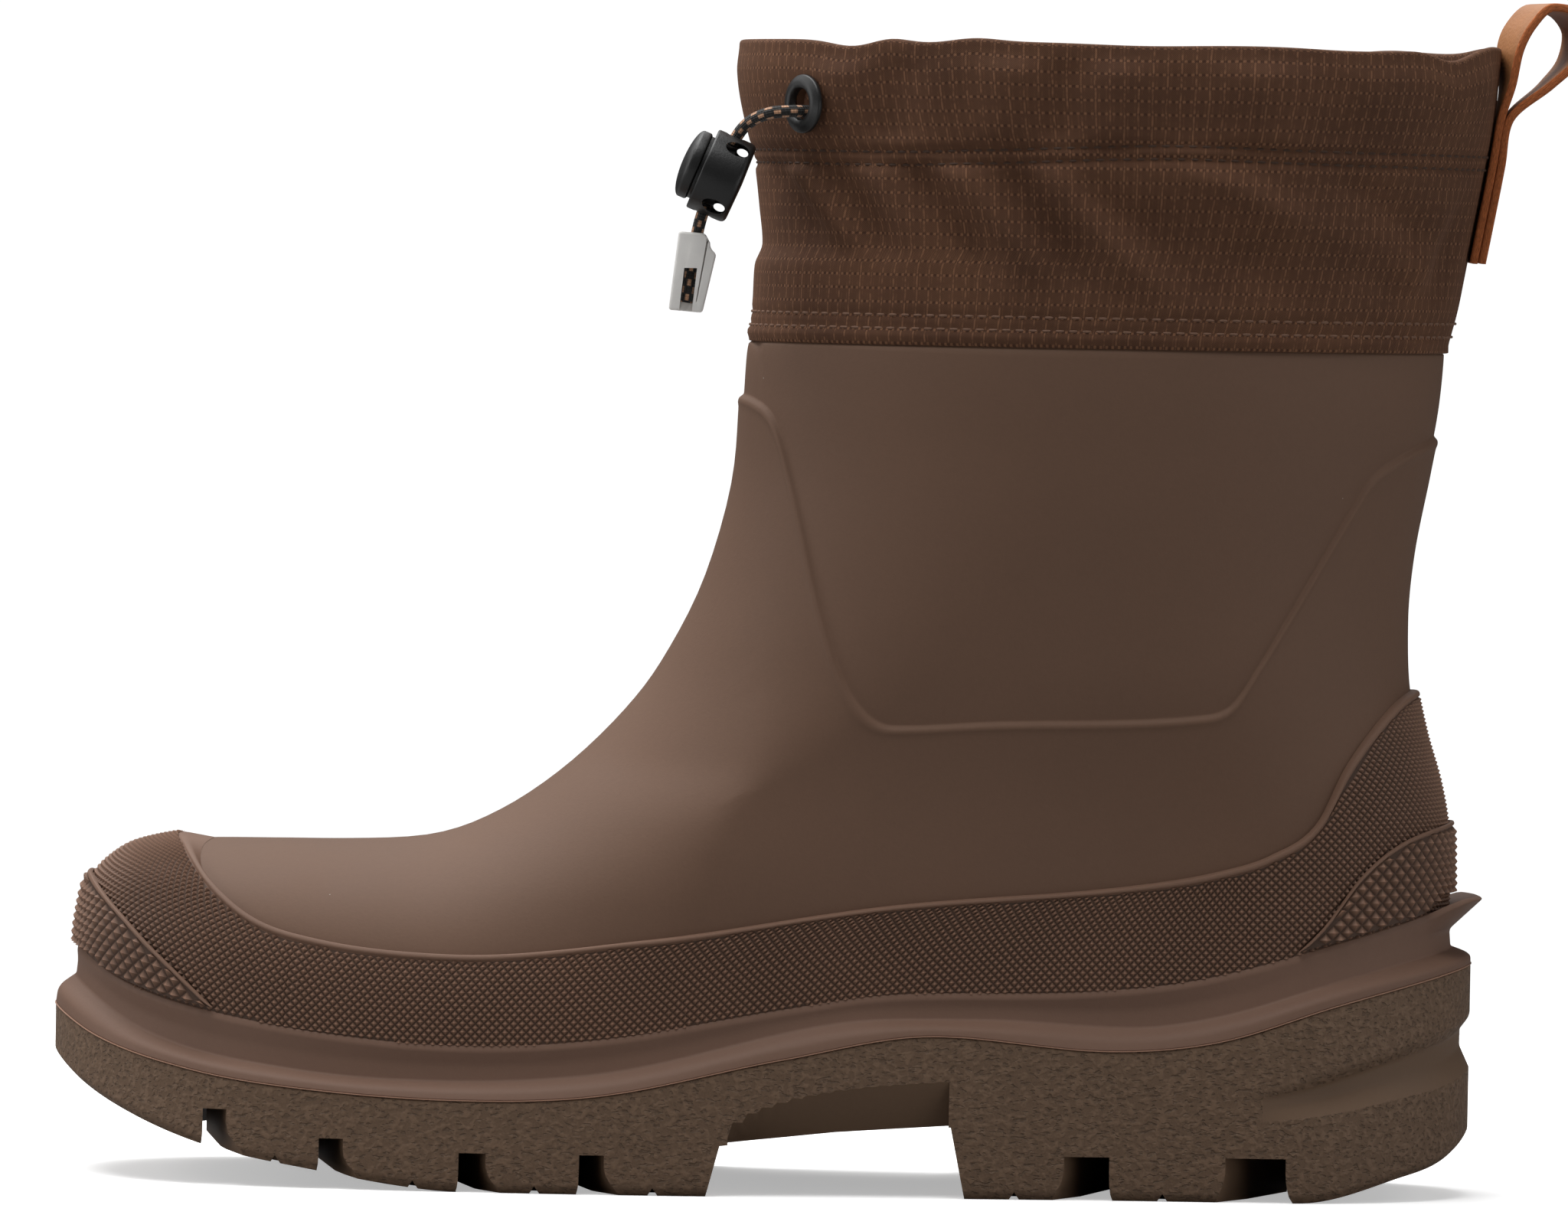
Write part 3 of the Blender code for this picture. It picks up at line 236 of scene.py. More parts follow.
# Outsole
GROOVES = (
    # front_x, width, top_z, sweep, edge_y, front flare, rear flare
    (33.2, 4.6, 15.4, -6.0, 47.0, 0.3, 4.2),
    (56.7, 4.8, 10.2, -8.0, 52.0, 0.3, 4.2),
    (84.7, 5.4, 7.9, -10.0, 53.5, 0.3, 4.0),
    (108.7, 5.0, 8.0, -10.0, 53.5, 0.3, 4.0),
    (206.0, 8.9, 8.8, 12.0, 44.0, 2.8, 0.5),
    (238.6, 12.0, 9.0, 15.0, 42.0, 2.4, 1.2),
)
GROOVE_LEVELS = 9
GROOVE_FLARE_RUN = 14.0
GROOVE_FLARE_HEIGHT = 0.75
GROOVE_FLARE_POWER = 2.2
GROOVE_FLARED = np.array((1.0, 1.0, 0.0, 0.0, 0.0, 1.0, 1.0))
# The smooth faces of grooves, channels, arch, sipes and heel wedge are drawn this much darker: a slight
# painted shade in the recesses
GROOVE_PAINTED_SHADE = 0.95
SOLE_ROUGH = 0.6
CENTRE_CHANNELS = (
    # front_x, back_x, half_width, top_z
    (60.0, 126.0, 2.6, 5.0),
    (196.0, 262.0, 3.0, 5.5),
)
SIPES = (
    # x, inner y
    (47.5, 40.0),
    (75.3, 43.0),
    (99.8, 43.0),
    (123.5, 42.0),
    (196.2, 33.0),
    (226.1, 33.0),
)
SIPE_HALF = 1.0
SIPE_RISE = 1.6
ARCH = ((133.6, -2.0), (136.8, 10.2), (160.0, 12.8), (183.2, 14.4), (186.6, -2.0))
SCOOP_TOP = ((138.4, 12.0), (142.0, 15.5), (150.0, 19.0), (163.0, 21.8), (182.8, 23.6))
SCOOP_DEPTH = 9.0
SCOOP_Z = (4.0, 11.0)
SCOOP_SECTIONS = 16
SOLE_SIDE = (
    # share, depth, opening
    (0.90, 0.0, 0.0),
    (0.78, 0.0, 0.0),
    (0.63, 0.0, 1.0),
    (0.59, 1.0, 1.0),
    (0.535, 1.0, 1.0),
    (0.47, 0.0, 1.0),
    (0.36, 0.0, 0.3),
    (0.20, 0.0, 0.0),
)
SOLE_ARC = 4
SOLE_SOFT = (0.0, 0.0, 0.0, 0.5, 0.0, 0.0, 0.9, 0.6, 0.5, 0.15, 0.0, 0.0, 0.6, 0.5)
CUP_SHARES = (0.5, 1.0)
WEDGE_FIRST = 7
WEDGE_FACES = 8
WEDGE_START = 0.02
WEDGE_FADE = 3.0
HEEL_WEDGE_X = (244.0, 290.0)
HEEL_WEDGE_DEPTH = 2.0
HEEL_WEDGE_MIDDLE = 0.55
HEEL_WEDGE_OPENING = 0.9
SOLE_EDGE = 1.4
CUTTER_REACH = 70.0
BELOW_FLOOR = -3.0

# Welt and kick-off spur
LEDGE_RISE = 2.6
BAND_RISE = 2.0
LEDGE_LIP = 0.55
WELT_LIP = 1.2
BAND_FLARE = 0.3
BAND_WAIST = 0.45
BAND_ROUND = 0.4
WELT_SOFT = (0.2, 1.9, 0.5, 0.9, 0.5, 0.4, 0.25, 0.0, 0.0, 0.0)
WELT_ROUGH = 0.64
FLASH_WIDTH = 0.35
FLASH_FOOT = -0.6
FLASH_TIP = 0.4
# The flash is the welt rubber drawn this many times lighter: a painted highlight along the parting line
FLASH_PAINTED_HIGHLIGHT = 2.2
FLASH_ROUGH = 0.5
SPUR_REACH = 6.6
SPUR_RISE = 2.6
SPUR_HALF_WIDTH = 25.0
SPUR_EDGE = 0.9
SPUR_FOOT = 4.0
SPUR_SIDES = 0.45
HEEL_START_X = 200.0

# Fabric cuff
CUFF = np.array([
    # z, front_x, back_x, half_width
    (173.3, 139.7, 282.2, 47.2),
    (180.0, 140.2, 283.9, 47.6),
    (187.0, 140.5, 285.2, 48.0),
    (191.5, 142.0, 286.0, 48.2),
    (198.5, 141.3, 287.3, 48.8),
    (207.5, 140.1, 288.9, 49.6),
    (217.0, 138.0, 290.5, 50.2),
    (227.0, 136.8, 291.5, 50.6),
    (232.3, 136.6, 291.9, 50.6),
])
CUFF_ROUND = (70.0, 66.0)
CUFF_Z = (171.7, 232.0)
CUFF_ROWS = 84
CUFF_INNER_ROWS = 40
CUFF_EDGE_STEPS = 7
CUFF_MAP_Z = 200.0
CUFF_WAVE_Z = (214.0, 232.0)
CUFF_WAVES = (
    # side, x, rise, reach
    (-1, 158.5, -1.3, 5.5),
    (-1, 166.5, 0.4, 4.0),
    (-1, 174.0, -0.4, 5.0),
    (-1, 184.0, 0.6, 6.0),
    (-1, 218.0, -0.4, 14.0),
    (-1, 262.0, -0.6, 12.0),
    (-1, 281.0, -2.0, 4.5),
    (-1, 290.5, 1.2, 4.0),
    (1, 165.0, -0.7, 10.0),
    (1, 200.0, 0.6, 14.0),
    (1, 240.0, -0.6, 12.0),
    (1, 272.0, 0.7, 7.0),
    (1, 290.5, 1.2, 4.0),
)
FOLDS = (
    # side, x, z, slope_deg, length, width, height
    (-1, 148.5, 201.0, -58.0, 20.0, 2.2, -1.7),
    (-1, 154.5, 199.5, -50.0, 24.0, 2.5, 1.9),
    (-1, 161.0, 199.5, -54.0, 24.0, 2.7, -1.9),
    (-1, 169.0, 199.0, -58.0, 24.0, 3.2, 1.7),
    (-1, 178.8, 199.5, -52.0, 32.0, 3.4, -2.4),
    (-1, 187.0, 198.5, -50.0, 30.0, 3.4, 2.2),
    (-1, 198.0, 198.5, -56.0, 32.0, 3.8, -2.4),
    (-1, 208.5, 196.0, -46.0, 32.0, 4.2, 2.0),
    (-1, 220.0, 193.5, -36.0, 36.0, 4.4, -1.9),
    (-1, 233.0, 192.5, -26.0, 36.0, 4.4, -1.5),
    (-1, 247.0, 198.5, -27.0, 46.0, 4.2, 2.3),
    (-1, 262.0, 189.5, -30.0, 30.0, 4.0, -1.7),
    (-1, 268.5, 200.5, -34.0, 28.0, 4.0, -1.6),
    (-1, 276.0, 192.0, 66.0, 22.0, 3.0, 1.5),
    (-1, 281.5, 193.0, 72.0, 20.0, 2.4, -1.8),
    (-1, 156.0, 223.0, 80.0, 22.0, 4.5, 0.9),
    (-1, 168.5, 221.0, 82.0, 24.0, 5.0, -1.2),
    (-1, 190.5, 222.0, 84.0, 24.0, 6.0, 1.2),
    (-1, 201.5, 221.0, 84.0, 24.0, 4.6, -1.4),
    (-1, 212.0, 221.0, 86.0, 24.0, 5.0, 1.0),
    (-1, 226.0, 220.0, 88.0, 22.0, 6.0, -0.9),
    (-1, 243.0, 221.0, 90.0, 24.0, 6.0, 0.8),
    (-1, 257.0, 219.0, 92.0, 22.0, 5.0, -0.8),
    (1, 152.0, 199.0, -52.0, 26.0, 2.6, -1.9),
    (1, 162.0, 198.0, -48.0, 32.0, 3.0, 2.0),
    (1, 176.0, 196.0, -46.0, 34.0, 3.8, -2.3),
    (1, 192.0, 196.0, -48.0, 34.0, 4.2, 2.0),
    (1, 210.0, 193.0, -36.0, 38.0, 4.6, -2.1),
    (1, 230.0, 197.0, -24.0, 40.0, 4.6, 1.9),
    (1, 250.0, 191.0, 26.0, 34.0, 4.2, -2.0),
    (1, 266.0, 197.0, 42.0, 28.0, 3.4, 1.7),
    (1, 172.0, 221.0, 84.0, 24.0, 5.0, -1.2),
    (1, 196.0, 222.0, 86.0, 24.0, 6.0, 1.1),
    (1, 222.0, 221.0, 90.0, 24.0, 5.5, -1.2),
    (1, 250.0, 221.0, 92.0, 24.0, 6.0, 1.0),
)
FOLD_ZONE = (178.0, 183.0, 205.0, 210.5)
CHANNEL_ZONE = (211.0, 215.0, 226.0, 231.5)
LOOP_PRESS = (268.0, 276.0)
LOOP_PRESS_SIDES = (10.8, 19.2)
CHANNEL_ROWS = (207.9, 210.5)
SEAM_WAVE = ((140.0, 0.0), (165.0, -0.2), (186.0, 0.4), (226.0, 1.9), (254.0, 1.4), (290.0, 1.0))
CHANNEL_SEAM = 0.8
CHANNEL_SEAM_WIDTH = 0.9
CHANNEL_PUFF = 1.1
PUFF_SHARE = (0.6, 0.7)
PUFF_X = (190.0, 260.0)
PUFF_LOW_Z = (212.0, 225.0)
PUFF_HIGH_Z = (226.0, 232.5)
HEM_ROWS = (174.9, 177.6)
HEM_WAVE = ((140.0, 0.0), (290.0, 0.0))
# The hem's thread is the channel thread made this many times lighter: partly a paler thread, partly painted
# light against the shade in the hem's groove
HEM_THREAD_PALE_AND_LIT = 2.6
HEM_SEAM = 0.3
HEM_SEAM_WIDTH = 0.7
HEM_EDGE = 173.6
HEM_ROLL = 0.5
HEM_ROLL_WIDTH = 1.2
HEM_TURN = 0.2

# Stitches: shares of their run, girth and lift along one stitch, and how deep they sit
STITCH_RUN = np.array((-1.0, -0.78, 0.0, 0.78, 1.0))
STITCH_GIRTH = np.array((0.0, 0.8, 1.0, 0.8, 0.0))
STITCH_LIFT = np.array((-0.7, 0.0, 0.45, 0.0, -0.7))
STITCH_SUNK = 0.2
STITCH_SIDES = 6

# Leather pull loop: a strip from its foot up, over the top, and down again
LOOP_STRIP = 1.65
LOOP_SEAT = 0.06
LOOP_WIDTH = 18.0
LOOP_TWIST = math.radians(-14.0)
LOOP_TWIST_Z = (219.0, 240.0)
LOOP_FOOT_Z = (190.0, 200.0, 210.0, 219.0)
LOOP_FRONT_LEG = ((293.2, 226.0), (293.6, 233.0), (295.8, 238.6))
LOOP_TOP = ((300.0, 242.3), (304.6, 241.3))
LOOP_BACK_LEG = ((307.3, 237.0), (305.7, 231.6), (301.3, 226.6))
LOOP_STEPS = 150
LOOP_ROUND = 0.55
LOOP_ROUND_STEPS = 5
LOOP_EDGE_SHARE = 0.9

# Eyelet on the outer side of the cuff
EYELET_X = 151.2
EYELET_Z = 219.7
EYELET_RADIUS = 5.95
EYELET_BORE = 3.1
EYELET_THICKNESS = 1.6
EYELET_BEVEL = 1.4
EYELET_MOUTH = (0.3, 0.7)
EYELET_SOFT = (0.2, 0.2, 0.3, 0.5, 0.5, 0.3)
EYELET_REACH = 9.0
EYELET_SIDES = 24
EYELET_EXTRA_TURN = math.radians(10.0)

# Cord lock and its sprung button
LOCK_CENTRE = (133.6, -31.0, 204.8)
LOCK_SLOPE = math.radians(22.3)
LOCK_RADIUS = 8.5
LOCK_LENGTH = 8.4
LOCK_BORE_RADIUS = 7.4
LOCK_FLOOR = 1.2
LOCK_CROWN = 0.25
LOCK_SOFT = (0.0, 1.3, 0.45, 0.3, 0.4, 0.0)
LOCK_CORD_HOLE = 1.9
LOCK_HOLE_SHIFT = 0.6
LOCK_HOLE_SIDES = 24
LOCK_MOUTHS = (
    # along, up, half_along, half_up, whether it goes right through
    (-0.9, 6.2, 2.5, 1.3, False),
    (-2.0, 6.0, 1.2, 0.75, True),
)
BUTTON_RADIUS = 7.1
BUTTON_STEM_RADIUS = 6.6
BUTTON_GAP = 0.9
BUTTON_RIM = 1.5
BUTTON_DOME = 1.9
BUTTON_DOME_STEPS = 14
BUTTON_SOFT = (0.0, 0.3, 0.0, 0.2, 0.0)
BUTTON_STEM = 5.0
BUTTON_SLOT = 3.6
BUTTON_TRAVEL = 2.0

# Free stretch of the drawcord, from inside the eyelet to inside the end clip
CORD_ROUTE = (
    (152.4, -30.8, 218.2),
    (149.5, -32.9, 218.2),
    (146.6, -34.6, 218.1),
    (143.7, -34.9, 217.8),
    (140.9, -33.7, 216.9),
    (138.3, -31.9, 215.2),
    (136.4, -31.0, 212.7),
    (134.8, -31.0, 209.3),
    (133.0, -31.0, 205.0),
    (131.3, -31.0, 200.8),
    (129.9, -31.0, 197.3),
    (129.0, -31.0, 193.8),
    (128.3, -31.0, 189.4),
    (127.6, -31.0, 184.4),
    (126.9, -31.0, 179.2),
)
CORD_RADIUS = 1.25
CORD_STEPS = 200
CORD_SIDES = 20

# End clip: a leaf that holds the cord, and a shorter leaf beside it that hangs from its foot
CLIP_OUTLINE = ((125.2, 193.6), (130.5, 193.2), (131.5, 191.4), (131.6, 190.3), (132.8, 189.0),
                (130.2, 177.2), (123.4, 177.7))
CLIP_SLIT = ((130.9, 192.2), (131.25, 192.2), (129.05, 179.4), (128.85, 179.4))
CLIP_DEPTH = 5.6
CLIP_BORE = 1.45
CLIP_BORE_REACH = 20.0
CLIP_BORE_SIDES = 20
CLIP_SLIT_SHARE = 0.3
CLIP_SLOT_Z = (176.5, 186.2)
CLIP_SLOT_HALF = 1.3
CLIP_SLOT_LEAN = (-0.2, 0.8)
CLIP_ROUND = 0.55
CLIP_ROUND_STEPS = 3

# Camera, as a place in the boot's own sizes
VIEW_X = 147.8
VIEW_Z = 115.9
VIEW_WIDTH = 319.85
VIEW_DISTANCE = 3000.0
VIEW_RISE = math.radians(1.5)
VIEW_ROLL = math.radians(1.054)
VIEW_END = 100.0
SENSOR_WIDTH = 36.0

# Light: softboxes in metres and watts, the white surround, the share that the floor throws back, and a glow
# of the floor that only the camera sees, painted light on its shadows
SOFTBOXES = (
    # name, size, power, place, target height
    ("back", (1.8, 1.2), 10.0, (-0.35, 0.8, 1.15), 0.08),
    ("top", (1.6, 1.0), 24.0, (-0.25, -0.05, 1.35), 0.11),
    ("left", (0.8, 1.1), 6.0, (-1.3, -0.05, 0.6), 0.11),
    ("right", (0.8, 1.2), 3.6, (1.2, -0.2, 0.65), 0.11),
    ("front", (1.6, 1.0), 0.5, (-0.2, -1.7, 1.1), 0.11),
    ("low_left", (0.5, 0.2), 0.8, (-0.6, -0.6, 0.06), 0.03),
    ("low_right", (0.5, 0.2), 1.0, (0.6, -0.6, 0.06), 0.03),
)
FLOOR_X = (-900.0, 1200.0, 22)
FLOOR_Y = (-900.0, 600.0, 16)
SURROUND_LIGHT = 0.055
SURROUND_SEEN = 1.05
FLOOR_BOUNCE = 0.3
# Glow of the floor that only the camera sees: painted light that lightens the shadows on the floor
FLOOR_GLOW = 0.42


def smooth(table, value):
    """Cubic through a table's points with slopes from their neighbours, flat past both ends."""
    points = np.asarray(table, dtype=float)
    x, y = points[:, 0], points[:, 1]
    secant = np.diff(y) / np.diff(x)
    slope = np.empty_like(y)
    slope[1:-1] = np.where(secant[1:] * secant[:-1] > 0, 0.5 * (secant[1:] + secant[:-1]), 0.0)
    limit = SLOPE_LIMIT * np.minimum(np.abs(secant[1:]), np.abs(secant[:-1]))
    slope[1:-1] = np.clip(slope[1:-1], -limit, limit)
    slope[0], slope[-1] = secant[0], secant[-1]
    value = np.clip(value, x[0], x[-1])
    i = np.clip(np.searchsorted(x, value) - 1, 0, len(x) - 2)
    span = x[i + 1] - x[i]
    t = (value - x[i]) / span
    rise = t * t * (3.0 - 2.0 * t)
    bend = span * t * (1.0 - t) * (slope[i] * (1.0 - t) - slope[i + 1] * t)
    return y[i] + (y[i + 1] - y[i]) * rise + bend


def column(table, index, value):
    """One column of a wide table, read smoothly at a value of its first column."""
    return smooth(table[:, (0, index)], value)


def ring_values(level):
    """Front x and z, back x and z and rocker of the shell's rings at any level between them."""
    order = np.arange(len(RINGS), dtype=float)
    return [smooth(np.column_stack((order, RINGS[:, i])), level) for i in range(RINGS.shape[1])]


def ease(value, low, high):
    """Zero below low, one above high, with a soft turn at both."""
    t = np.clip((value - low) / (high - low), 0.0, 1.0)
    return t * t * (3.0 - 2.0 * t)


def bulge(depth):
    """Quarter of a rounded outline: zero at no depth, one where the depth is full."""
    rest = 1.0 - np.clip(depth, 0.0, 1.0)
    return (1.0 - rest ** ROUND_POWER) ** (1.0 / ROUND_POWER)


def unit(vectors):
    """Vectors of length one."""
    return vectors / np.linalg.norm(vectors, axis=-1, keepdims=True)


def travel(points):
    """Length run along a line of points, from zero at its first."""
    return np.concatenate(((0.0,), np.cumsum(np.linalg.norm(np.diff(points, axis=0), axis=1))))


def even_path(knots, steps):
    """Even points on a smooth curve through knots, and the length run at each of them."""
    run = travel(knots)
    even = np.linspace(0.0, run[-1], steps)
    points = [smooth(np.column_stack((run, knots[:, i])), even) for i in range(knots.shape[1])]
    return np.column_stack(points), even


FINE_LEVELS = np.linspace(0.0, len(RINGS) - 1.0, FINE_STEPS)
FRONT_X, FRONT_Z, BACK_X, BACK_Z, _ = ring_values(FINE_LEVELS)
TOE_PART = FINE_LEVELS <= TOE_RINGS
SHIN_PART = FINE_LEVELS >= SHIN_RING
RIDGE_PART = FINE_LEVELS >= RIDGE_RING


def front_depth(x, z):
    """Depth behind the toe, vamp and shin line: the three depths joined as reciprocal squares."""
    below = np.interp(x, FRONT_X[RIDGE_PART], FRONT_Z[RIDGE_PART]) - z
    below = below + RIDGE_FALL * np.maximum(x - FRONT_X[-1], 0.0)
    shin_x = np.interp(z, FRONT_Z[SHIN_PART], FRONT_X[SHIN_PART])
    under = np.maximum(FRONT_Z[SHIN_PART][0] + SHIN_BLEND - z, 0.0)
    under = np.where(under < 2.0 * SHIN_BLEND, under ** 2 / (4.0 * SHIN_BLEND), under - SHIN_BLEND)
    behind = x - shin_x + SHIN_RUN * under
    toe_x = np.interp(z, FRONT_Z[TOE_PART], FRONT_X[TOE_PART])
    inside = x - toe_x - TOE_RUN * np.maximum(z - FRONT_Z[TOE_PART][-1], 0.0)
    toe_round = TOE_ROUND * (1.0 - ease(z, *TOE_FADE))
    total = (toe_round / np.maximum(inside, 1e-6)) ** 2
    for depth, length in ((below, smooth(VAMP_ROUND, x)), (behind, column(SHAFT, 2, z))):
        total = total + (length / np.maximum(depth, 1e-6)) ** 2
    return 1.0 / np.sqrt(total)


def centre_y(x):
    """Inward turn of the foot's middle line towards the toe."""
    return TOE_TURN * np.clip(1.0 - x / TURN_START_X, 0.0, 1.0) ** TURN_POWER


def half_width(x, z, side):
    """Half width of the shell at a point of its side view."""
    foot = np.where(side < 0, column(FOOT_WIDTH, 1, x), column(FOOT_WIDTH, 2, x))
    share = ease(z, *FOOT_TO_SHAFT)
    full = foot * (1.0 - share) + column(SHAFT, 1, z) * share
    above_bed = np.clip((z - smooth(FOOTBED, x)) / TUCK_HEIGHT, 0.0, 1.0)
    tuck = 1.0 - TUCK_SHARE * (1.0 - above_bed) ** 2
    behind = (np.interp(z, BACK_Z, BACK_X) - x) / column(SHAFT, 3, z)
    return full * tuck * bulge(front_depth(x, z)) * bulge(behind)


def place_and_side(turn):
    """Place from front to back (0 to 1) and side (-1 outer, 1 inner) of a turn round the boot."""
    turn = np.mod(turn, 2.0)
    return np.where(turn <= 1.0, turn, 2.0 - turn), np.where(turn <= 1.0, -1.0, 1.0)


def along(place, front, back):
    """X of a place: quarter turns at nose and tail, with even steps between them."""
    nose = np.minimum(NOSE_RUN, NOSE_LIMIT * (back - front))
    tail = np.minimum(TAIL_RUN, TAIL_LIMIT * (back - front))
    quarter = math.pi / 2
    turn_in = front + nose * (1.0 - np.cos(np.clip(place / END_SHARE, 0.0, 1.0) * quarter))
    turn_out = back - tail * (1.0 - np.cos(np.clip((1.0 - place) / END_SHARE, 0.0, 1.0) * quarter))
    even = (place - END_SHARE) / (1.0 - 2.0 * END_SHARE)
    middle = front + nose + (back - tail - front - nose) * even
    return np.where(place < END_SHARE, turn_in, np.where(place > 1.0 - END_SHARE, turn_out, middle))


def shell(level, turn=TURNS):
    """Points of the bare shell: x from the turn, z in the ring's plane, y from the half width there."""
    level, turn = np.broadcast_arrays(np.asarray(level, dtype=float), turn)
    place, side = place_and_side(turn)
    front_x, front_z, back_x, back_z, rocker = ring_values(np.clip(level, 0.0, TOP_RING))
    x = along(place, front_x, back_x)
    share = (x - front_x) / (back_x - front_x)
    chord = front_z + (back_z - front_z) * share
    level_bed = smooth(FOOTBED, front_x) * (1.0 - share) + smooth(FOOTBED, back_x) * share
    z = chord + rocker * (smooth(FOOTBED, x) - level_bed)
    ends = (place < 1e-9) | (place > 1.0 - 1e-9)
    width = np.where(ends, 0.0, half_width(x, z, side))
    return np.stack((x, centre_y(x) + side * width, z), axis=-1)


def outward(level, turn=TURNS, flat=False):
    """Unit normal of the shell: the step round it crossed with the step up it, or with straight up."""
    around = shell(level, turn + TURN_STEP) - shell(level, turn - TURN_STEP)
    if flat:
        up = np.broadcast_to(UP, around.shape)
    else:
        up = shell(level + LEVEL_STEP, turn) - shell(level - LEVEL_STEP, turn)
    return unit(np.cross(around, up))


def offset(level, distance, turn=TURNS, flat=False):
    """Points of the shell moved out along its normal by a distance."""
    return shell(level, turn) + outward(level, turn, flat) * np.asarray(distance, dtype=float)[..., None]


@functools.cache
def level_grid():
    """Fine levels and the shell's points on them, for reading levels off side lines."""
    steps = np.linspace(0.0, TOP_RING, LEVEL_STEPS)
    return steps, shell(steps[:, None], TURNS[None, :])


def level_at(line):
    """Level at which each column of the shell first rises above a side line or a height per column."""
    steps, points = level_grid()
    target = smooth(line, points[..., 0]) if np.ndim(line) == 2 else np.asarray(line)[None, :]
    above = points[..., 2] - target
    first = np.maximum(np.argmax(above > 0.0, axis=0), 1)
    index = np.arange(len(TURNS))
    low, high = above[first - 1, index], above[first, index]
    part = np.clip(-low / np.maximum(high - low, 1e-9), 0.0, 1.0)
    return steps[first - 1] + part * (steps[1] - steps[0])


def read_turn(values, turn):
    """Values known at every column, read at other turns."""
    return np.interp(np.mod(turn, 2.0), TURNS, values, period=2.0)


def rise_per_level(level, turn=TURNS):
    """Millimetres of surface that one level covers."""
    step = shell(level + LEVEL_STEP, turn) - shell(level - LEVEL_STEP, turn)
    return np.linalg.norm(step, axis=-1) / (2.0 * LEVEL_STEP)


def at_height(ring, z):
    """The same ring with its heights replaced."""
    ring = ring.copy()
    ring[:, 2] = z
    return ring


def level_ring(level, distance, z):
    """Ring a level distance out from the shell at some levels, brought to heights."""
    return at_height(offset(level, distance, flat=True), z)


def soften(rows, radii, steps=4, closed=True):
    """Rows with their corners rounded: each becomes a quadratic arc between points a radius away."""
    rows = np.asarray(rows)
    blend = np.linspace(0.0, 1.0, steps)[:, None, None]
    result = []
    for i, radius in enumerate(radii):
        if radius == 0.0 or (not closed and i in (0, len(rows) - 1)):
            result.append(rows[i][None])
            continue
        ends = []
        for other in (rows[i - 1], rows[(i + 1) % len(rows)]):
            step = other - rows[i]
            length = np.linalg.norm(step, axis=-1, keepdims=True)
            ends.append(rows[i] + step * np.minimum(radius / np.maximum(length, 1e-6), SOFT_LIMIT))
        arc = ends[0] * (1 - blend) ** 2 + rows[i] * 2 * blend * (1 - blend) + ends[1] * blend ** 2
        result.append(arc)
    return np.concatenate(result)


def grid(points, wrap_rows=False, wrap_columns=True, finish=0, uv=None):
    """Patch of quads over a grid: a step along the columns crossed with one along the rows faces out."""
    rows, columns = points.shape[:2]
    r = np.arange(rows if wrap_rows else rows - 1)[:, None]
    c = np.arange(columns if wrap_columns else columns - 1)[None, :]
    next_r, next_c = (r + 1) % rows, (c + 1) % columns
    corners = (r * columns + c, r * columns + next_c, next_r * columns + next_c, next_r * columns + c)
    faces = np.stack(np.broadcast_arrays(*corners), axis=-1)
    finish = np.broadcast_to(finish, faces.shape[:2])
    flat_uv = None if uv is None else uv.reshape(-1, 2)
    return points.reshape(-1, 3), faces.reshape(-1, 4), finish.reshape(-1), flat_uv


def cap(points):
    """Patch across a ring: quads from its outer to its inner half, seen from above."""
    count = len(points)
    k = np.arange(0, count // 2)
    faces = np.stack((k, k + 1, (count - k - 1) % count, (count - k) % count), axis=-1)
    return points, faces, np.zeros(len(faces), dtype=int), None


def flip(patch):
    """The same patch with its faces turned round."""
    points, faces, finish, uv = patch
    return points, faces[:, ::-1], finish, uv


def to_frame(points):
    """Boot millimetres to the frame's metres."""
    return (np.asarray(points, dtype=float) - (ORIGIN_X, 0.0, 0.0)) * MM


def new_object(name, data):
    """Object of this data, in the scene's own collection."""
    thing = bpy.data.objects.new(name, data)
    bpy.context.scene.collection.objects.link(thing)
    return thing


def finished_mesh(thing):
    """Copy of an object's mesh with its modifiers applied."""
    depsgraph = bpy.context.evaluated_depsgraph_get()
    return bpy.data.meshes.new_from_object(thing.evaluated_get(depsgraph), depsgraph=depsgraph)


def build_mesh(name, patches, sharp_deg=40.0, weld=True):
    """Mesh of joined patches, with equal points welded and edges over an angle kept sharp."""
    starts = np.cumsum([0] + [len(patch[0]) for patch in patches])
    points = to_frame(np.concatenate([patch[0] for patch in patches]))
    loops = np.concatenate([(patch[1] + start).ravel() for patch, start in zip(patches, starts)])
    sides = np.concatenate([np.full(len(patch[1]), patch[1].shape[1]) for patch in patches])
    mesh = bpy.data.meshes.new(name)
    mesh.vertices.add(len(points))
    mesh.vertices.foreach_set("co", points.astype(np.float32).ravel())
    mesh.loops.add(len(loops))
    mesh.loops.foreach_set("vertex_index", loops.astype(np.int32))
    mesh.polygons.add(len(sides))
    mesh.polygons.foreach_set("loop_start", (np.cumsum(sides) - sides).astype(np.int32))
    finishes = np.concatenate([patch[2] for patch in patches])
    mesh.polygons.foreach_set("material_index", finishes.astype(np.int32))
    if any(patch[3] is not None for patch in patches):
        blank = [np.zeros((len(patch[0]), 2)) if patch[3] is None else patch[3] for patch in patches]
        layer = mesh.uv_layers.new(name="measure")
        layer.data.foreach_set("uv", np.concatenate(blank)[loops].astype(np.float32).ravel())
    mesh.update(calc_edges=True)
    if weld:
        solid = bmesh.new()
        solid.from_mesh(mesh)
        bmesh.ops.remove_doubles(solid, verts=solid.verts, dist=WELD * MM)
        solid.to_mesh(mesh)
        solid.free()
    mesh.shade_smooth()
    mesh.set_sharp_from_angle(angle=math.radians(sharp_deg))
    return mesh


def add_piece(name, mesh, finishes, nodes=(), body="boot"):
    """Object of a mesh with its finishes, riding on a body and standing for its solids."""
    piece = new_object(name, mesh)
    for finish in finishes[len(mesh.materials):]:
        mesh.materials.append(finish)
    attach(piece, body)
    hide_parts(*nodes)
    return piece


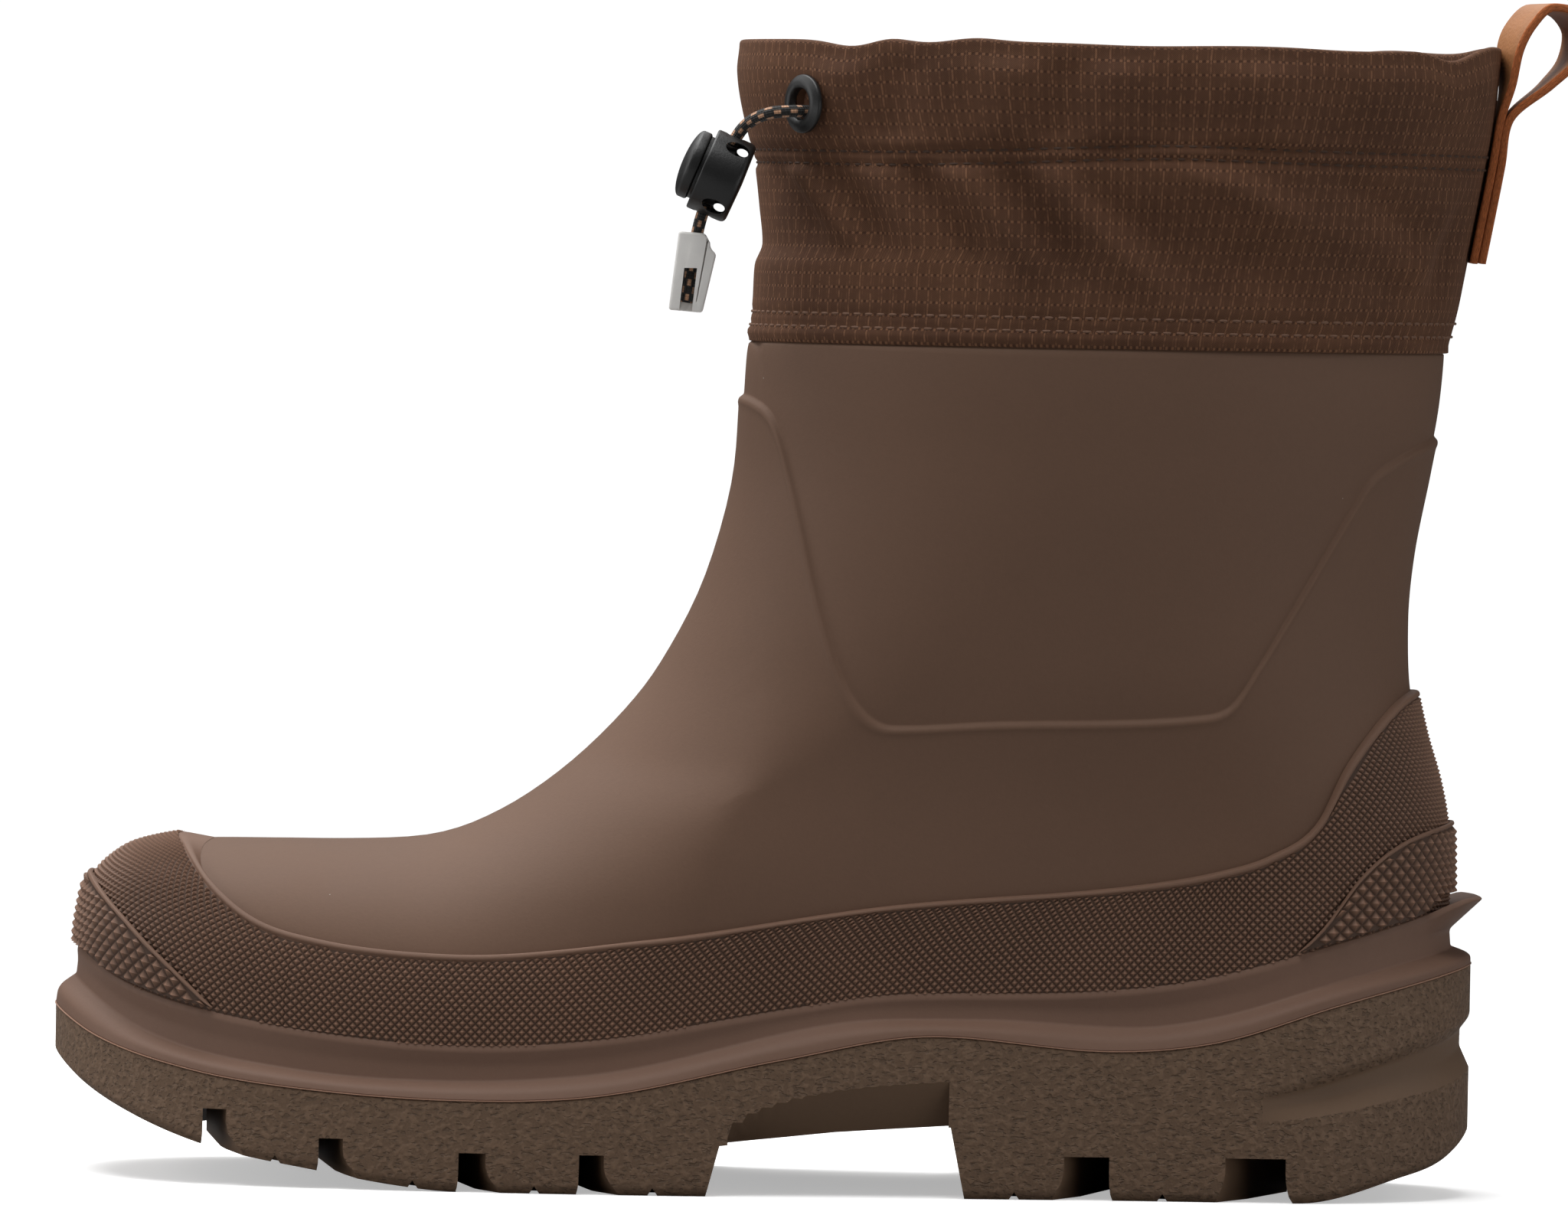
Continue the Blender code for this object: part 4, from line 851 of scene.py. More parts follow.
def carve(mesh, cutters, sharp_deg=40.0):
    """Mesh with the shapes of cutter meshes taken away; cut faces take the cutters' finishes."""
    things = [new_object(source.name + "_tool", source) for source in [mesh] + cutters]
    for cutter in things[1:]:
        modifier = things[0].modifiers.new(cutter.name, "BOOLEAN")
        modifier.operation = "DIFFERENCE"
        modifier.solver = "EXACT"
        modifier.material_mode = "TRANSFER"
        modifier.object = cutter
    result = finished_mesh(things[0])
    result.name = mesh.name
    for thing in things:
        source = thing.data
        bpy.data.objects.remove(thing, do_unlink=True)
        bpy.data.meshes.remove(source)
    result.shade_smooth()
    result.set_sharp_from_angle(angle=math.radians(sharp_deg))
    return result


def prism(outline, axis, low, high):
    """Patches of a flat outline drawn across an axis (0 X, 1 Y, 2 Z) and carried from low to high."""
    others = [i for i in range(3) if i != axis]
    ends = np.empty((2, len(outline), 3))
    ends[..., others] = outline
    ends[0, :, axis], ends[1, :, axis] = low, high
    return loft(ends)


def loft(sections):
    """Closed patches through rings of like points, with both end rings filled."""
    return [grid(sections), flip(lid(sections[0])), lid(sections[-1])]


def lid(ring, finish=0):
    """One flat face across a ring."""
    return ring, np.arange(len(ring))[None], np.array((finish,)), None


def cutter_mesh(name, patches, finish=None):
    """Closed mesh for carving, with its faces turned outwards."""
    mesh = build_mesh(name, patches)
    solid = bmesh.new()
    solid.from_mesh(mesh)
    bmesh.ops.recalc_face_normals(solid, faces=solid.faces)
    solid.to_mesh(mesh)
    solid.free()
    if finish:
        mesh.materials.append(finish)
    return mesh


def turned(profile, centre, axis, across, columns=64):
    """Grid of a profile (radius, height) turned round an axis through a centre."""
    profile = np.asarray(profile, dtype=float)
    angle = np.arange(columns) * 2.0 * math.pi / columns
    axis, across = np.asarray(axis), np.asarray(across)
    third = np.cross(axis, across)
    ray = np.cos(angle)[:, None] * across + np.sin(angle)[:, None] * third
    return np.asarray(centre) + profile[:, :1, None] * ray + profile[:, 1:, None] * axis


def round_corners(profile, radii, steps=6, closed=False):
    """Profile of a turned or drawn shape with its corners rounded."""
    rows = [np.array([[r, h, 0.0]]) for r, h in profile]
    return soften(rows, radii, steps, closed)[:, 0, :2]


def drill(name, radius, reach, spot, axis, across, sides, finish):
    """Cutter: a round bar along an axis that reaches as far both ways from a spot."""
    profile = ((0.0, -reach), (radius, -reach), (radius, reach), (0.0, reach))
    return cutter_mesh(name, [grid(turned(profile, spot, axis, across, sides))], finish)


def tube(path, radius, sides):
    """Grid round a path, closed to a point at both ends, with its length and turn as measure."""
    tangent = unit(np.gradient(path, axis=0))
    first = unit(np.cross(tangent, (0.0, 1.0, 0.0)))
    second = np.cross(tangent, first)
    angle = np.linspace(0.0, 2.0 * math.pi, sides + 1)
    ray = np.cos(angle)[None, :, None] * first[:, None] + np.sin(angle)[None, :, None] * second[:, None]
    points = path[:, None] + ray * radius
    ends = [np.broadcast_to(path[i], points[0].shape)[None] for i in (0, -1)]
    points = np.concatenate((ends[0], points, ends[1]))
    run = travel(path)
    run = np.concatenate((run[:1], run, run[-1:]))
    uv = np.stack(np.broadcast_arrays(run[:, None], angle[None] / (2.0 * math.pi)), axis=-1)
    return grid(points, wrap_columns=False, uv=uv)


class Socket:
    """A node's output in an expression: each operation on it adds a Math node."""

    def __init__(self, finish, socket):
        self.finish = finish
        self.socket = socket

    def math(self, operation, *values):
        """Math node of this operation on the values."""
        return self.finish.node("ShaderNodeMath", {"operation": operation}, dict(enumerate(values)))

    def __add__(self, other):
        return self.math("ADD", self, other)

    def __radd__(self, other):
        return self.math("ADD", other, self)

    def __sub__(self, other):
        return self.math("SUBTRACT", self, other)

    def __rsub__(self, other):
        return self.math("SUBTRACT", other, self)

    def __mul__(self, other):
        return self.math("MULTIPLY", self, other)

    def __rmul__(self, other):
        return self.math("MULTIPLY", other, self)

    def __truediv__(self, other):
        return self.math("DIVIDE", self, other)

    def __rtruediv__(self, other):
        return self.math("DIVIDE", other, self)

    def __abs__(self):
        return self.math("ABSOLUTE", self)

    def fract(self):
        """Part after the decimal point."""
        return self.math("FRACT", self)

    def floor(self):
        """Whole part."""
        return self.math("FLOOR", self)

    def sine(self):
        """Sine of an angle."""
        return self.math("SINE", self)

    def step(self, low, high):
        """Soft step from 0 at low to 1 at high."""
        return self.finish.node("ShaderNodeMapRange", {"interpolation_type": "SMOOTHSTEP"},
                                {"Value": self, "From Min": low, "From Max": high})


class Finish:
    """Node tree of one material, with a method that adds any node to it."""

    def __init__(self, name, **values):
        self.material = bpy.data.materials.new(name)
        self.material.use_nodes = True
        self.nodes = self.material.node_tree.nodes
        self.links = self.material.node_tree.links
        self.shader = self.nodes["Principled BSDF"]
        for key, value in values.items():
            self.set(key.replace("_", " ").title().replace("Ior", "IOR"), value)

    def put(self, socket, value):
        """Link an expression to a socket, or set a plain value on it."""
        if isinstance(value, Socket):
            self.links.new(value.socket, socket)
        elif socket.type == "RGBA" and len(value) == 3:
            socket.default_value = (*value, 1.0)
        else:
            socket.default_value = value

    def node(self, kind, settings=None, sockets=None, output=0):
        """New node: its settings, then the values or links of its sockets; gives one of its outputs."""
        node = self.nodes.new(kind)
        for key, value in (settings or {}).items():
            setattr(node, key, value)
        for key, value in (sockets or {}).items():
            self.put(node.inputs[key], value)
        return Socket(self, node.outputs[output])

    def set(self, key, value):
        """Value or link of one of the shader's sockets."""
        self.put(self.shader.inputs[key], value)

    def place(self):
        """Place on the object, in metres."""
        return self.node("ShaderNodeTexCoord", output="Object")

    def measure(self):
        """The piece's own measure: along and across, in the units of its map."""
        spot = self.node("ShaderNodeUVMap", {"uv_map": "measure"})
        return [self.node("ShaderNodeSeparateXYZ", sockets={0: spot}, output=i) for i in (0, 1)]

    def noise(self, scale, detail=3.0, rough=0.5, vector=None):
        """Soft noise between 0 and 1."""
        sockets = {"Vector": vector or self.place(), "Scale": scale, "Detail": detail, "Roughness": rough}
        return self.node("ShaderNodeTexNoise", sockets=sockets)

    def cells(self, scale):
        """Distance to the points of scattered cells."""
        sockets = {"Vector": self.place(), "Scale": scale}
        return self.node("ShaderNodeTexVoronoi", sockets=sockets, output="Distance")

    def mix(self, share, first, second):
        """Colour between two colours."""
        return self.node("ShaderNodeMix", {"data_type": "RGBA"}, {0: share, 6: first, 7: second}, output=2)

    def tones(self, share, colour, dark, light):
        """Colour between a darker and a lighter tone of one colour."""
        return self.mix(share, shade(colour, dark), shade(colour, light))

    def done(self, colour, roughness, height, depth):
        """The material, with its colour, roughness and a relief from 0 to 1 over a depth in millimetres."""
        self.set("Base Color", colour)
        self.set("Roughness", roughness)
        self.set("Normal", self.node("ShaderNodeBump", sockets={"Height": height, "Distance": depth * MM}))
        return self.material


def shade(colour, factor):
    """A colour made darker or lighter."""
    return tuple(min(1.0, part * factor) for part in colour)


def matte_rubber(name, colour, roughness):
    """Moulded rubber: clouded brown with fine grain, a broad soft gloss and a few specks of dust."""
    f = Finish(name, specular_ior_level=0.3)
    cloud = f.noise(22.0, 4.0, 0.6)
    speck = f.noise(900.0, 2.0)
    share = (cloud - 0.5) * 0.7 + (speck - 0.5) * 0.35 + 0.5
    dust = 1.0 - f.cells(75.0).step(0.008, 0.016)
    shown = f.mix(dust, f.tones(share, colour, 0.86, 1.14), DUST)
    return f.done(shown, cloud * 0.12 + (roughness - 0.06), f.noise(1700.0, 3.0, 0.6), 0.03)


def knurled_rubber(name, colour, roughness):
    """Knurled rubber on a map of the pyramids' height: painted shade at their feet and a painted highlight
    on their tips.
    """
    f = Finish(name, specular_ior_level=0.35)
    height = f.measure()[0]
    cloud = f.noise(30.0, 3.0, 0.6)
    # Tone from the height: painted shade at the feet, painted highlight on the tips
    share = height * 0.9 + (cloud - 0.5) * 0.25
    shown = f.tones(share, colour, 0.42, 1.75)
    return f.done(shown, (roughness + 0.1) - height * 0.14, f.noise(1700.0, 3.0, 0.6), 0.03)


def pebbled_rubber(name, colour):
    """Sole rubber with a leathery grain: low rounded cells, fine sand and short pits in patches, the cells
    drawn lighter as a painted highlight and the pits darker as painted shade.
    """
    f = Finish(name, specular_ior_level=0.35)
    fine = f.noise(2400.0, 3.0, 0.65)
    lean = f.node("ShaderNodeMapping", sockets={"Vector": f.place(), "Rotation": (0.0, 0.35, 0.0),
                                                "Scale": (0.6, 1.0, 1.3)})
    pit = f.noise(1250.0, 1.0, 0.4, lean).step(0.57, 0.68)
    crown = f.noise(800.0, 1.0, 0.4).step(0.4, 0.7)
    # Tone: raised crowns lighter as a painted highlight, pits darker as painted shade, fine sand at random
    tone = crown * 0.25 + fine * 0.6 - pit * 0.2 + 0.12
    relief = crown * 0.4 + fine * 0.2 - pit * 0.7 + 0.4
    return f.done(f.tones(tone, colour, 0.5, 1.45), 0.75 - crown * 0.12, relief, 0.3)


def ripstop_fabric(name, colour, thread):
    """Ripstop cloth on a map in millimetres: twill ground, pale upright threads and rows of dots on them."""
    f = Finish(name, sheen_weight=0.2, sheen_roughness=0.5, specular_ior_level=0.25)
    f.set("Sheen Tint", (*thread, 1.0))
    around, up = f.measure()
    wander = (f.noise(160.0, 2.0) - 0.5) * 0.6
    broken = f.noise(900.0, 2.0)
    column = abs(((around + wander) / 2.56).fract() - 0.5)
    half_column = abs(((around + wander) / 1.28).fract() - 0.5)
    line = (1.0 - column.step(0.04, 0.09)) * broken.step(0.3, 0.65)
    faint = (1.0 - half_column.step(0.06, 0.14)) * broken.step(0.4, 0.7)
    row = 1.0 - abs(((up + wander * 0.5) / 2.75).fract() - 0.5).step(0.06, 0.12)
    dot = row * (1.0 - half_column.step(0.16, 0.28)) * (0.6 + 0.4 * (1.0 - column.step(0.06, 0.14)))
    gap = row * half_column.step(0.2, 0.36)
    twill = ((around + up) * (2.0 * math.pi / 0.36)).sine() * 0.5 + 0.5
    cloud = f.noise(60.0, 3.0)
    share = line * 0.4 + faint * 0.12 + dot * 0.55 + twill * 0.16 + (cloud - 0.5) * 0.3 - gap * 0.2 + 0.04
    shown = f.mix(share, shade(colour, 0.75), thread)
    relief = line * 0.35 + dot * 0.6 + twill * 0.22 - gap * 0.3 + 0.3
    return f.done(shown, 0.85 - line * 0.12 - dot * 0.15, relief, 0.14)


def sewing_thread(name, colour):
    """Twisted thread."""
    f = Finish(name, specular_ior_level=0.25)
    strand = f.noise(2400.0, 2.0)
    return f.done(f.tones(strand, colour, 0.7, 1.3), strand * 0.15 + 0.6, strand, 0.08)


def leather_face(name, colour):
    """Smooth tan leather: clouded dye, fine pores, and creases drawn darker as painted shade."""
    f = Finish(name, specular_ior_level=0.45, coat_weight=0.08, coat_roughness=0.35)
    cloud = f.noise(90.0, 4.0, 0.6)
    pore = f.cells(1500.0)
    crease = f.noise(420.0, 4.0, 0.7)
    # The creases are drawn darker: painted shade in them
    tone = (cloud - 0.5) * 1.1 + (crease - 0.5) * 0.5 + 0.5
    relief = pore * 0.5 + crease * 0.5
    return f.done(f.tones(tone, colour, 0.72, 1.2), crease * 0.25 + 0.42, relief, 0.1)


def leather_edge(name, colour):
    """Raw cut edge of leather: fibres that run along it, red-brown with pale strands."""
    f = Finish(name, specular_ior_level=0.25)
    run, across = f.measure()
    spot = f.node("ShaderNodeCombineXYZ", sockets={0: run * 0.35, 1: across * 3.2, 2: 0.0})
    fibre = f.noise(2.4, 5.0, 0.7, spot)
    shown = f.tones(fibre.step(0.28, 0.72), colour, 0.45, 1.6)
    return f.done(shown, 0.95 - fibre * 0.15, fibre, 0.3)


def satin_plastic(name, colour):
    """Moulded plastic with a fine spark texture."""
    f = Finish(name, specular_ior_level=0.5)
    spark = f.noise(2600.0, 2.0)
    return f.done(f.tones(f.noise(300.0), colour, 0.8, 1.3), spark * 0.14 + 0.35, spark, 0.03)


def braided_cord(name, colour, fleck):
    """Braided cord: staggered strands and pairs of bright flecks in rows round it."""
    f = Finish(name, specular_ior_level=0.3, sheen_weight=0.2)
    run, turn = f.measure()
    lane = (turn * 6.0).floor()
    shift = run / 3.0 + lane * 0.5
    in_lane = 1.0 - abs((turn * 6.0).fract() - 0.5).step(0.24, 0.34)
    on = 1.0 - abs(shift.fract() - 0.5).step(0.18, 0.25)
    mark = in_lane * on
    left = ((run / 1.1 + turn * 8.0) * (2.0 * math.pi)).sine()
    right = ((run / 1.1 - turn * 8.0) * (2.0 * math.pi)).sine()
    braid = left * right * 0.5 + 0.5
    return f.done(f.mix(mark * (braid * 0.5 + 0.5), colour, fleck), 0.8 - braid * 0.15, braid, 0.18)


def milky_plastic(name, colour):
    """Cloudy clip plastic that lets some light through."""
    f = Finish(name, transmission_weight=0.3, ior=1.46, specular_ior_level=0.5)
    cloud = f.noise(350.0, 3.0)
    return f.done(f.tones(cloud, colour, 0.94, 1.06), cloud * 0.1 + 0.3, f.noise(1200.0), 0.02)


def felt(name, colour):
    """Felted or brushed textile: soft fibres in all directions."""
    f = Finish(name, sheen_weight=0.08, sheen_roughness=0.6, specular_ior_level=0.15)
    fibre = f.noise(700.0, 5.0, 0.75)
    shown = f.tones(fibre.step(0.3, 0.7), colour, 0.6, 1.5)
    return f.done(shown, 0.96 - fibre * 0.08, fibre, 0.4)


def pale_floor(name):
    """Plain pale floor with a very faint cloud, which throws only part of its light back at the boot. To the
    camera alone it also glows: painted light that lightens the shadows on it.
    """
    f = Finish(name, specular_ior_level=0.0, roughness=0.9)
    seen = f.node("ShaderNodeLightPath", output="Is Camera Ray")
    pale = f.mix(f.noise(3.0), (0.93, 0.93, 0.93), (0.96, 0.96, 0.96))
    f.set("Base Color", f.mix(seen, (FLOOR_BOUNCE, FLOOR_BOUNCE, FLOOR_BOUNCE), pale))
    # Glow for camera rays only: painted light lifting the shadows on the floor
    f.set("Emission Color", f.mix(seen, (0.0, 0.0, 0.0), (1.0, 1.0, 1.0)))
    f.set("Emission Strength", FLOOR_GLOW)
    return f.material


def colour(name, description, default):
    """Colour property."""
    return FloatVectorProperty(name=name, description=description, subtype="COLOR", size=3, min=0.0,
                               max=1.0, default=default)


def length(name, description, default_mm):
    """Length property, given in millimetres."""
    return FloatProperty(name=name, description=description, default=default_mm * MM, min=0.0,
                         unit="LENGTH", precision=5)


class BootSizes(bpy.types.PropertyGroup):
    """Sizes of the fine detail."""

    rand_pitch: length("Rand pitch", "Width of one pyramid of the rand", 1.7)
    rand_relief: length("Rand relief", "Height of the rand's pyramids", 0.72)
    guard_pitch: length("Guard pitch", "Width of one pyramid of the guards", 2.95)
    guard_relief: length("Guard relief", "Height of the guards' pyramids", 1.05)
    stitch_pitch: length("Stitch pitch", "Length from stitch to stitch", 2.7)
    stitch_length: length("Stitch length", "Length of one stitch", 2.1)
    thread: length("Thread", "Thickness of the sewing thread", 0.62)
    cord: length("Cord", "Diameter of the drawcord", 2.5)
    folds: FloatProperty(name="Folds", description="Strength of the cuff's folds", default=1.0, min=0.0,
                         subtype="FACTOR")


class BootColours(bpy.types.PropertyGroup):
    """Colours of the finishes."""

    shell: colour("Shell", "Rubber of the upper", (0.132, 0.073, 0.046))
    rand: colour("Rand", "Rubber of the knurled band and guards", (0.164, 0.090, 0.058))
    welt: colour("Welt", "Rubber of the welt", (0.156, 0.088, 0.060))
    sole: colour("Sole", "Rubber of the outsole", (0.142, 0.086, 0.052))
    cuff: colour("Cuff", "Ground of the cuff's cloth", (0.074, 0.031, 0.016))
    ripstop: colour("Ripstop", "Bright threads of the cuff's cloth", (0.300, 0.140, 0.070))
    thread: colour("Thread", "Sewing thread", (0.062, 0.034, 0.022))
    leather: colour("Leather", "Face of the pull loop", (0.360, 0.145, 0.048))
    raw_edge: colour("Raw edge", "Cut edge of the pull loop", (0.400, 0.118, 0.037))
    plastic: colour("Plastic", "Eyelet, lock and button", (0.006, 0.006, 0.006))
    cord: colour("Cord", "Ground of the drawcord", (0.012, 0.011, 0.010))
    fleck: colour("Fleck", "Flecks of the drawcord", (0.620, 0.340, 0.200))
    clip: colour("Clip", "End clip", (0.920, 0.900, 0.870))
    lining: colour("Lining", "Lining of the shell", (0.030, 0.024, 0.020))
    insole: colour("Insole", "Footbed", (0.060, 0.055, 0.050))


def settings():
    """The sizes and colours of the scene."""
    scene = bpy.context.scene
    return scene.boot_sizes, scene.boot_colours


def shared(name, maker, *values):
    """A finish by name, made once."""
    full_name = name + "_finish"
    return bpy.data.materials.get(full_name) or maker(full_name, *values)


def add_light(name, size, power, place, target):
    """Softbox of a size in metres at a place, turned to a target."""
    light = bpy.data.lights.new(name, "AREA")
    light.shape = "RECTANGLE"
    light.size, light.size_y = size
    light.energy = power
    lamp = new_object(name, light)
    lamp.location = place
    lamp.rotation_euler = (Vector(target) - Vector(place)).to_track_quat("-Z", "Y").to_euler()


def add_camera():
    """Long lens at the photo's angle, rolled a little so that the heel lies lower in the picture."""
    camera = bpy.data.cameras.new("camera")
    camera.sensor_width = SENSOR_WIDTH
    camera.lens = SENSOR_WIDTH * VIEW_DISTANCE / VIEW_WIDTH
    camera.clip_end = VIEW_END
    back = Vector((0.0, -math.cos(VIEW_RISE), math.sin(VIEW_RISE)))
    level_right = Vector((1.0, 0.0, 0.0))
    level_up = back.cross(level_right)
    right = level_right * math.cos(VIEW_ROLL) + level_up * math.sin(VIEW_ROLL)
    up = back.cross(right)
    target = Vector(to_frame((VIEW_X, 0.0, VIEW_Z)))
    turn = Matrix((right, up, back)).transposed().to_4x4()
    thing = new_object("camera", camera)
    thing.matrix_world = Matrix.Translation(target + back * VIEW_DISTANCE * MM) @ turn
    bpy.context.scene.camera = thing


class BOOT_OT_stage(bpy.types.Operator):
    """Pale floor, studio light and the camera"""

    bl_idname = "boot.stage"
    bl_label = "Stage"

    def execute(self, context):
        """A floor that ends behind the boot, a white surround and the softboxes."""
        x, y = np.meshgrid(np.linspace(*FLOOR_X), np.linspace(*FLOOR_Y))
        points = np.stack((x, y, np.zeros_like(x)), axis=-1)
        mesh = build_mesh("floor", [grid(points, wrap_columns=False)])
        mesh.materials.append(shared("pale_floor", pale_floor))
        new_object("floor", mesh)
        world = bpy.data.worlds.new("surround")
        world.use_nodes = True
        nodes, links = world.node_tree.nodes, world.node_tree.links
        background = nodes["Background"]
        background.inputs["Color"].default_value = (1.0, 1.0, 1.0, 1.0)
        seen = nodes.new("ShaderNodeLightPath")
        strength = nodes.new("ShaderNodeMapRange")
        strength.inputs["To Min"].default_value = SURROUND_LIGHT
        strength.inputs["To Max"].default_value = SURROUND_SEEN
        links.new(seen.outputs["Is Camera Ray"], strength.inputs["Value"])
        links.new(strength.outputs["Result"], background.inputs["Strength"])
        context.scene.world = world
        context.scene.view_settings.view_transform = "Standard"
        for name, size, power, place, height in SOFTBOXES:
            add_light(name, size, power, place, (0.0, 0.0, height))
        add_camera()
        return {"FINISHED"}


class BOOT_OT_cord(bpy.types.Operator):
    """Free stretch of the drawcord with its lock, button and end clip"""

    bl_idname = "boot.cord"
    bl_label = "Drawcord"

    def execute(self, context):
        """Tube along the route, and the pieces that it carries."""
        sizes, colours = settings()
        plastic = shared("satin_plastic", satin_plastic, colours.plastic)
        path, _ = even_path(np.array(CORD_ROUTE), CORD_STEPS)
        mesh = build_mesh("cord_braid", [tube(path, 0.5 * sizes.cord / MM, CORD_SIDES)])
        textile = shared("braided_cord", braided_cord, colours.cord, colours.fleck)
        cord = add_piece("cord_braid", mesh, [textile], ["drawcord"])
        lock = add_lock(plastic)
        button = add_button(plastic)
        clip = add_clip(shared("milky_plastic", milky_plastic, colours.clip))
        return {"FINISHED"}


def lock_axes():
    """Directions from the lock's closed end to its button, and up its hole for the cord."""
    axis = np.array((-math.cos(LOCK_SLOPE), 0.0, math.sin(LOCK_SLOPE)))
    hole = np.array((math.sin(LOCK_SLOPE), 0.0, math.cos(LOCK_SLOPE)))
    return axis, hole


def add_lock(plastic):
    """Turned barrel with rounded edges, open at the button's end, and holes for the cord and the light."""
    axis, hole = lock_axes()
    end, mouth, floor = -LOCK_LENGTH / 2, LOCK_LENGTH / 2, LOCK_FLOOR - LOCK_LENGTH / 2
    profile = ((0.0, end - LOCK_CROWN), (LOCK_RADIUS, end), (LOCK_RADIUS, mouth), (LOCK_BORE_RADIUS, mouth),
               (LOCK_BORE_RADIUS, floor), (0.0, floor))
    barrel = turned(round_corners(profile, LOCK_SOFT), LOCK_CENTRE, axis, hole)
    mesh = cutter_mesh("lock_barrel", [grid(barrel)], plastic)
    centre = np.array(LOCK_CENTRE)
    spot, reach = centre + axis * LOCK_HOLE_SHIFT, 2 * LOCK_RADIUS
    cutters = [drill("cord_hole", LOCK_CORD_HOLE, reach, spot, hole, axis, LOCK_HOLE_SIDES, plastic)]
    angle = np.arange(LOCK_HOLE_SIDES) * 2.0 * math.pi / LOCK_HOLE_SIDES
    front = np.array((0.0, -2 * LOCK_RADIUS, 0.0))
    for shift, rise, long, high, through_both in LOCK_MOUTHS:
        for way in (-1.0, 1.0):
            spot = centre + axis * shift + hole * rise * way
            oval = spot + np.cos(angle)[:, None] * axis * long + np.sin(angle)[:, None] * hole * high
            back = oval - front if through_both else oval
            cutters.append(cutter_mesh("mouth", loft(np.stack((oval + front, back))), plastic))
    return add_piece("lock_barrel", carve(mesh, cutters), [plastic], ["cord_lock"])


def add_button(plastic):
    """Turned plunger: domed cap with a rounded rim over a stem that is forked for the cord."""
    axis, hole = lock_axes()
    mouth = LOCK_LENGTH / 2
    seat = mouth + BUTTON_GAP
    stem_end = mouth - BUTTON_STEM
    turn = np.linspace(0.0, 0.5 * math.pi, BUTTON_DOME_STEPS)
    dome = np.column_stack((BUTTON_RADIUS * np.sin(turn), seat + BUTTON_RIM + BUTTON_DOME * np.cos(turn)))
    rim = ((BUTTON_RADIUS, seat), (BUTTON_STEM_RADIUS, seat - GAP), (BUTTON_STEM_RADIUS, stem_end),
           (0.0, stem_end))
    rim = round_corners(np.concatenate((dome[-1:], rim)), BUTTON_SOFT)
    profile = np.concatenate((dome, rim[1:]))[::-1]
    mesh = cutter_mesh("lock_plunger", [grid(turned(profile, LOCK_CENTRE, axis, hole))], plastic)
    low = stem_end - BUTTON_TRAVEL
    high = LOCK_HOLE_SHIFT + CORD_RADIUS + GAP + BUTTON_TRAVEL
    half, reach = BUTTON_SLOT / 2, 2 * LOCK_RADIUS
    centre = np.array(LOCK_CENTRE)
    corners = [(low, -half), (high, -half), (high, half), (low, half)]
    ring = np.array([centre + axis * h + np.array((0.0, y, 0.0)) for h, y in corners])
    slot = cutter_mesh("slot", loft(np.stack((ring - hole * reach, ring + hole * reach))), plastic)
    return add_piece("lock_plunger", carve(mesh, [slot]), [plastic],
                     ["cord_lock_button"], body="lock_button")


def add_clip(plastic):
    """Extruded clip with a bore for the cord and a slot that shows it, its edges rounded by a bevel."""
    x, y, _ = CORD_ROUTE[-1]
    half = CLIP_DEPTH / 2
    mesh = cutter_mesh("end_clip", prism(CLIP_OUTLINE, 1, y - half, y + half), plastic)
    thing = new_object("clip_form", mesh)
    bevel = thing.modifiers.new("rounded", "BEVEL")
    bevel.width = CLIP_ROUND * MM
    bevel.segments = CLIP_ROUND_STEPS
    bevel.limit_method = "ANGLE"
    rounded = finished_mesh(thing)
    bpy.data.objects.remove(thing, do_unlink=True)
    top, bottom = np.array(CORD_ROUTE[-4]), np.array(CORD_ROUTE[-1])
    bore = drill("clip_bore", CLIP_BORE, CLIP_BORE_REACH, 0.5 * (top + bottom), unit(top - bottom),
                 (0.0, 1.0, 0.0), CLIP_BORE_SIDES, plastic)
    slit_end = y + CLIP_SLIT_SHARE * CLIP_DEPTH
    low, high = CLIP_SLOT_Z
    lean_low, lean_high = CLIP_SLOT_LEAN
    outline = ((x + lean_low - CLIP_SLOT_HALF, low), (x + lean_low + CLIP_SLOT_HALF, low),
               (x + lean_high + CLIP_SLOT_HALF, high), (x + lean_high - CLIP_SLOT_HALF, high))
    cutters = [bore, cutter_mesh("clip_slot", prism(outline, 1, y - CLIP_DEPTH, y), plastic),
               cutter_mesh("clip_slit", prism(CLIP_SLIT, 1, y - CLIP_DEPTH, slit_end), plastic)]
    return add_piece("end_clip", carve(rounded, cutters), [plastic], ["cord_end"])


def cuff_field(z, turn):
    """Fold height and top wave of the cuff: sums of listed soft ridges and troughs."""
    place, side = place_and_side(turn)
    x = along(place, column(CUFF, 1, z), column(CUFF, 2, z))
    zones = [ease(z, *limits[:2]) * (1.0 - ease(z, *limits[2:])) for limits in (FOLD_ZONE, CHANNEL_ZONE)]
    fold = np.zeros_like(x)
    for fold_side, fx, fz, slope, length_mm, width, height in FOLDS:
        c, s = math.cos(math.radians(slope)), math.sin(math.radians(slope))
        run = (x - fx) * c + (z - fz) * s
        off = (z - fz) * c - (x - fx) * s
        shape = np.exp(-(off / width) ** 2 - (2.0 * run / length_mm) ** 4)
        zone = zones[int(fz > CHANNEL_ZONE[0])]
        fold = fold + np.where(side == fold_side, height * shape * zone, 0.0)
    wave = np.zeros_like(x)
    for wave_side, wx, rise, reach in CUFF_WAVES:
        wave = wave + np.where(side == wave_side, rise * np.exp(-((x - wx) / reach) ** 2), 0.0)
    return fold, wave * ease(z, *CUFF_WAVE_Z)


def cuff_ring(z, turn, inset=0.0):
    """Points of the plain cuff: a level ring whose width rounds off at front and back."""
    place, side = place_and_side(turn)
    front, back = column(CUFF, 1, z) + inset, column(CUFF, 2, z) - inset
    x = along(place, front, back)
    width = column(CUFF, 3, z) - inset
    y = side * width * bulge((x - front) / CUFF_ROUND[0]) * bulge((back - x) / CUFF_ROUND[1])
    return np.stack(np.broadcast_arrays(x, y, z), axis=-1)


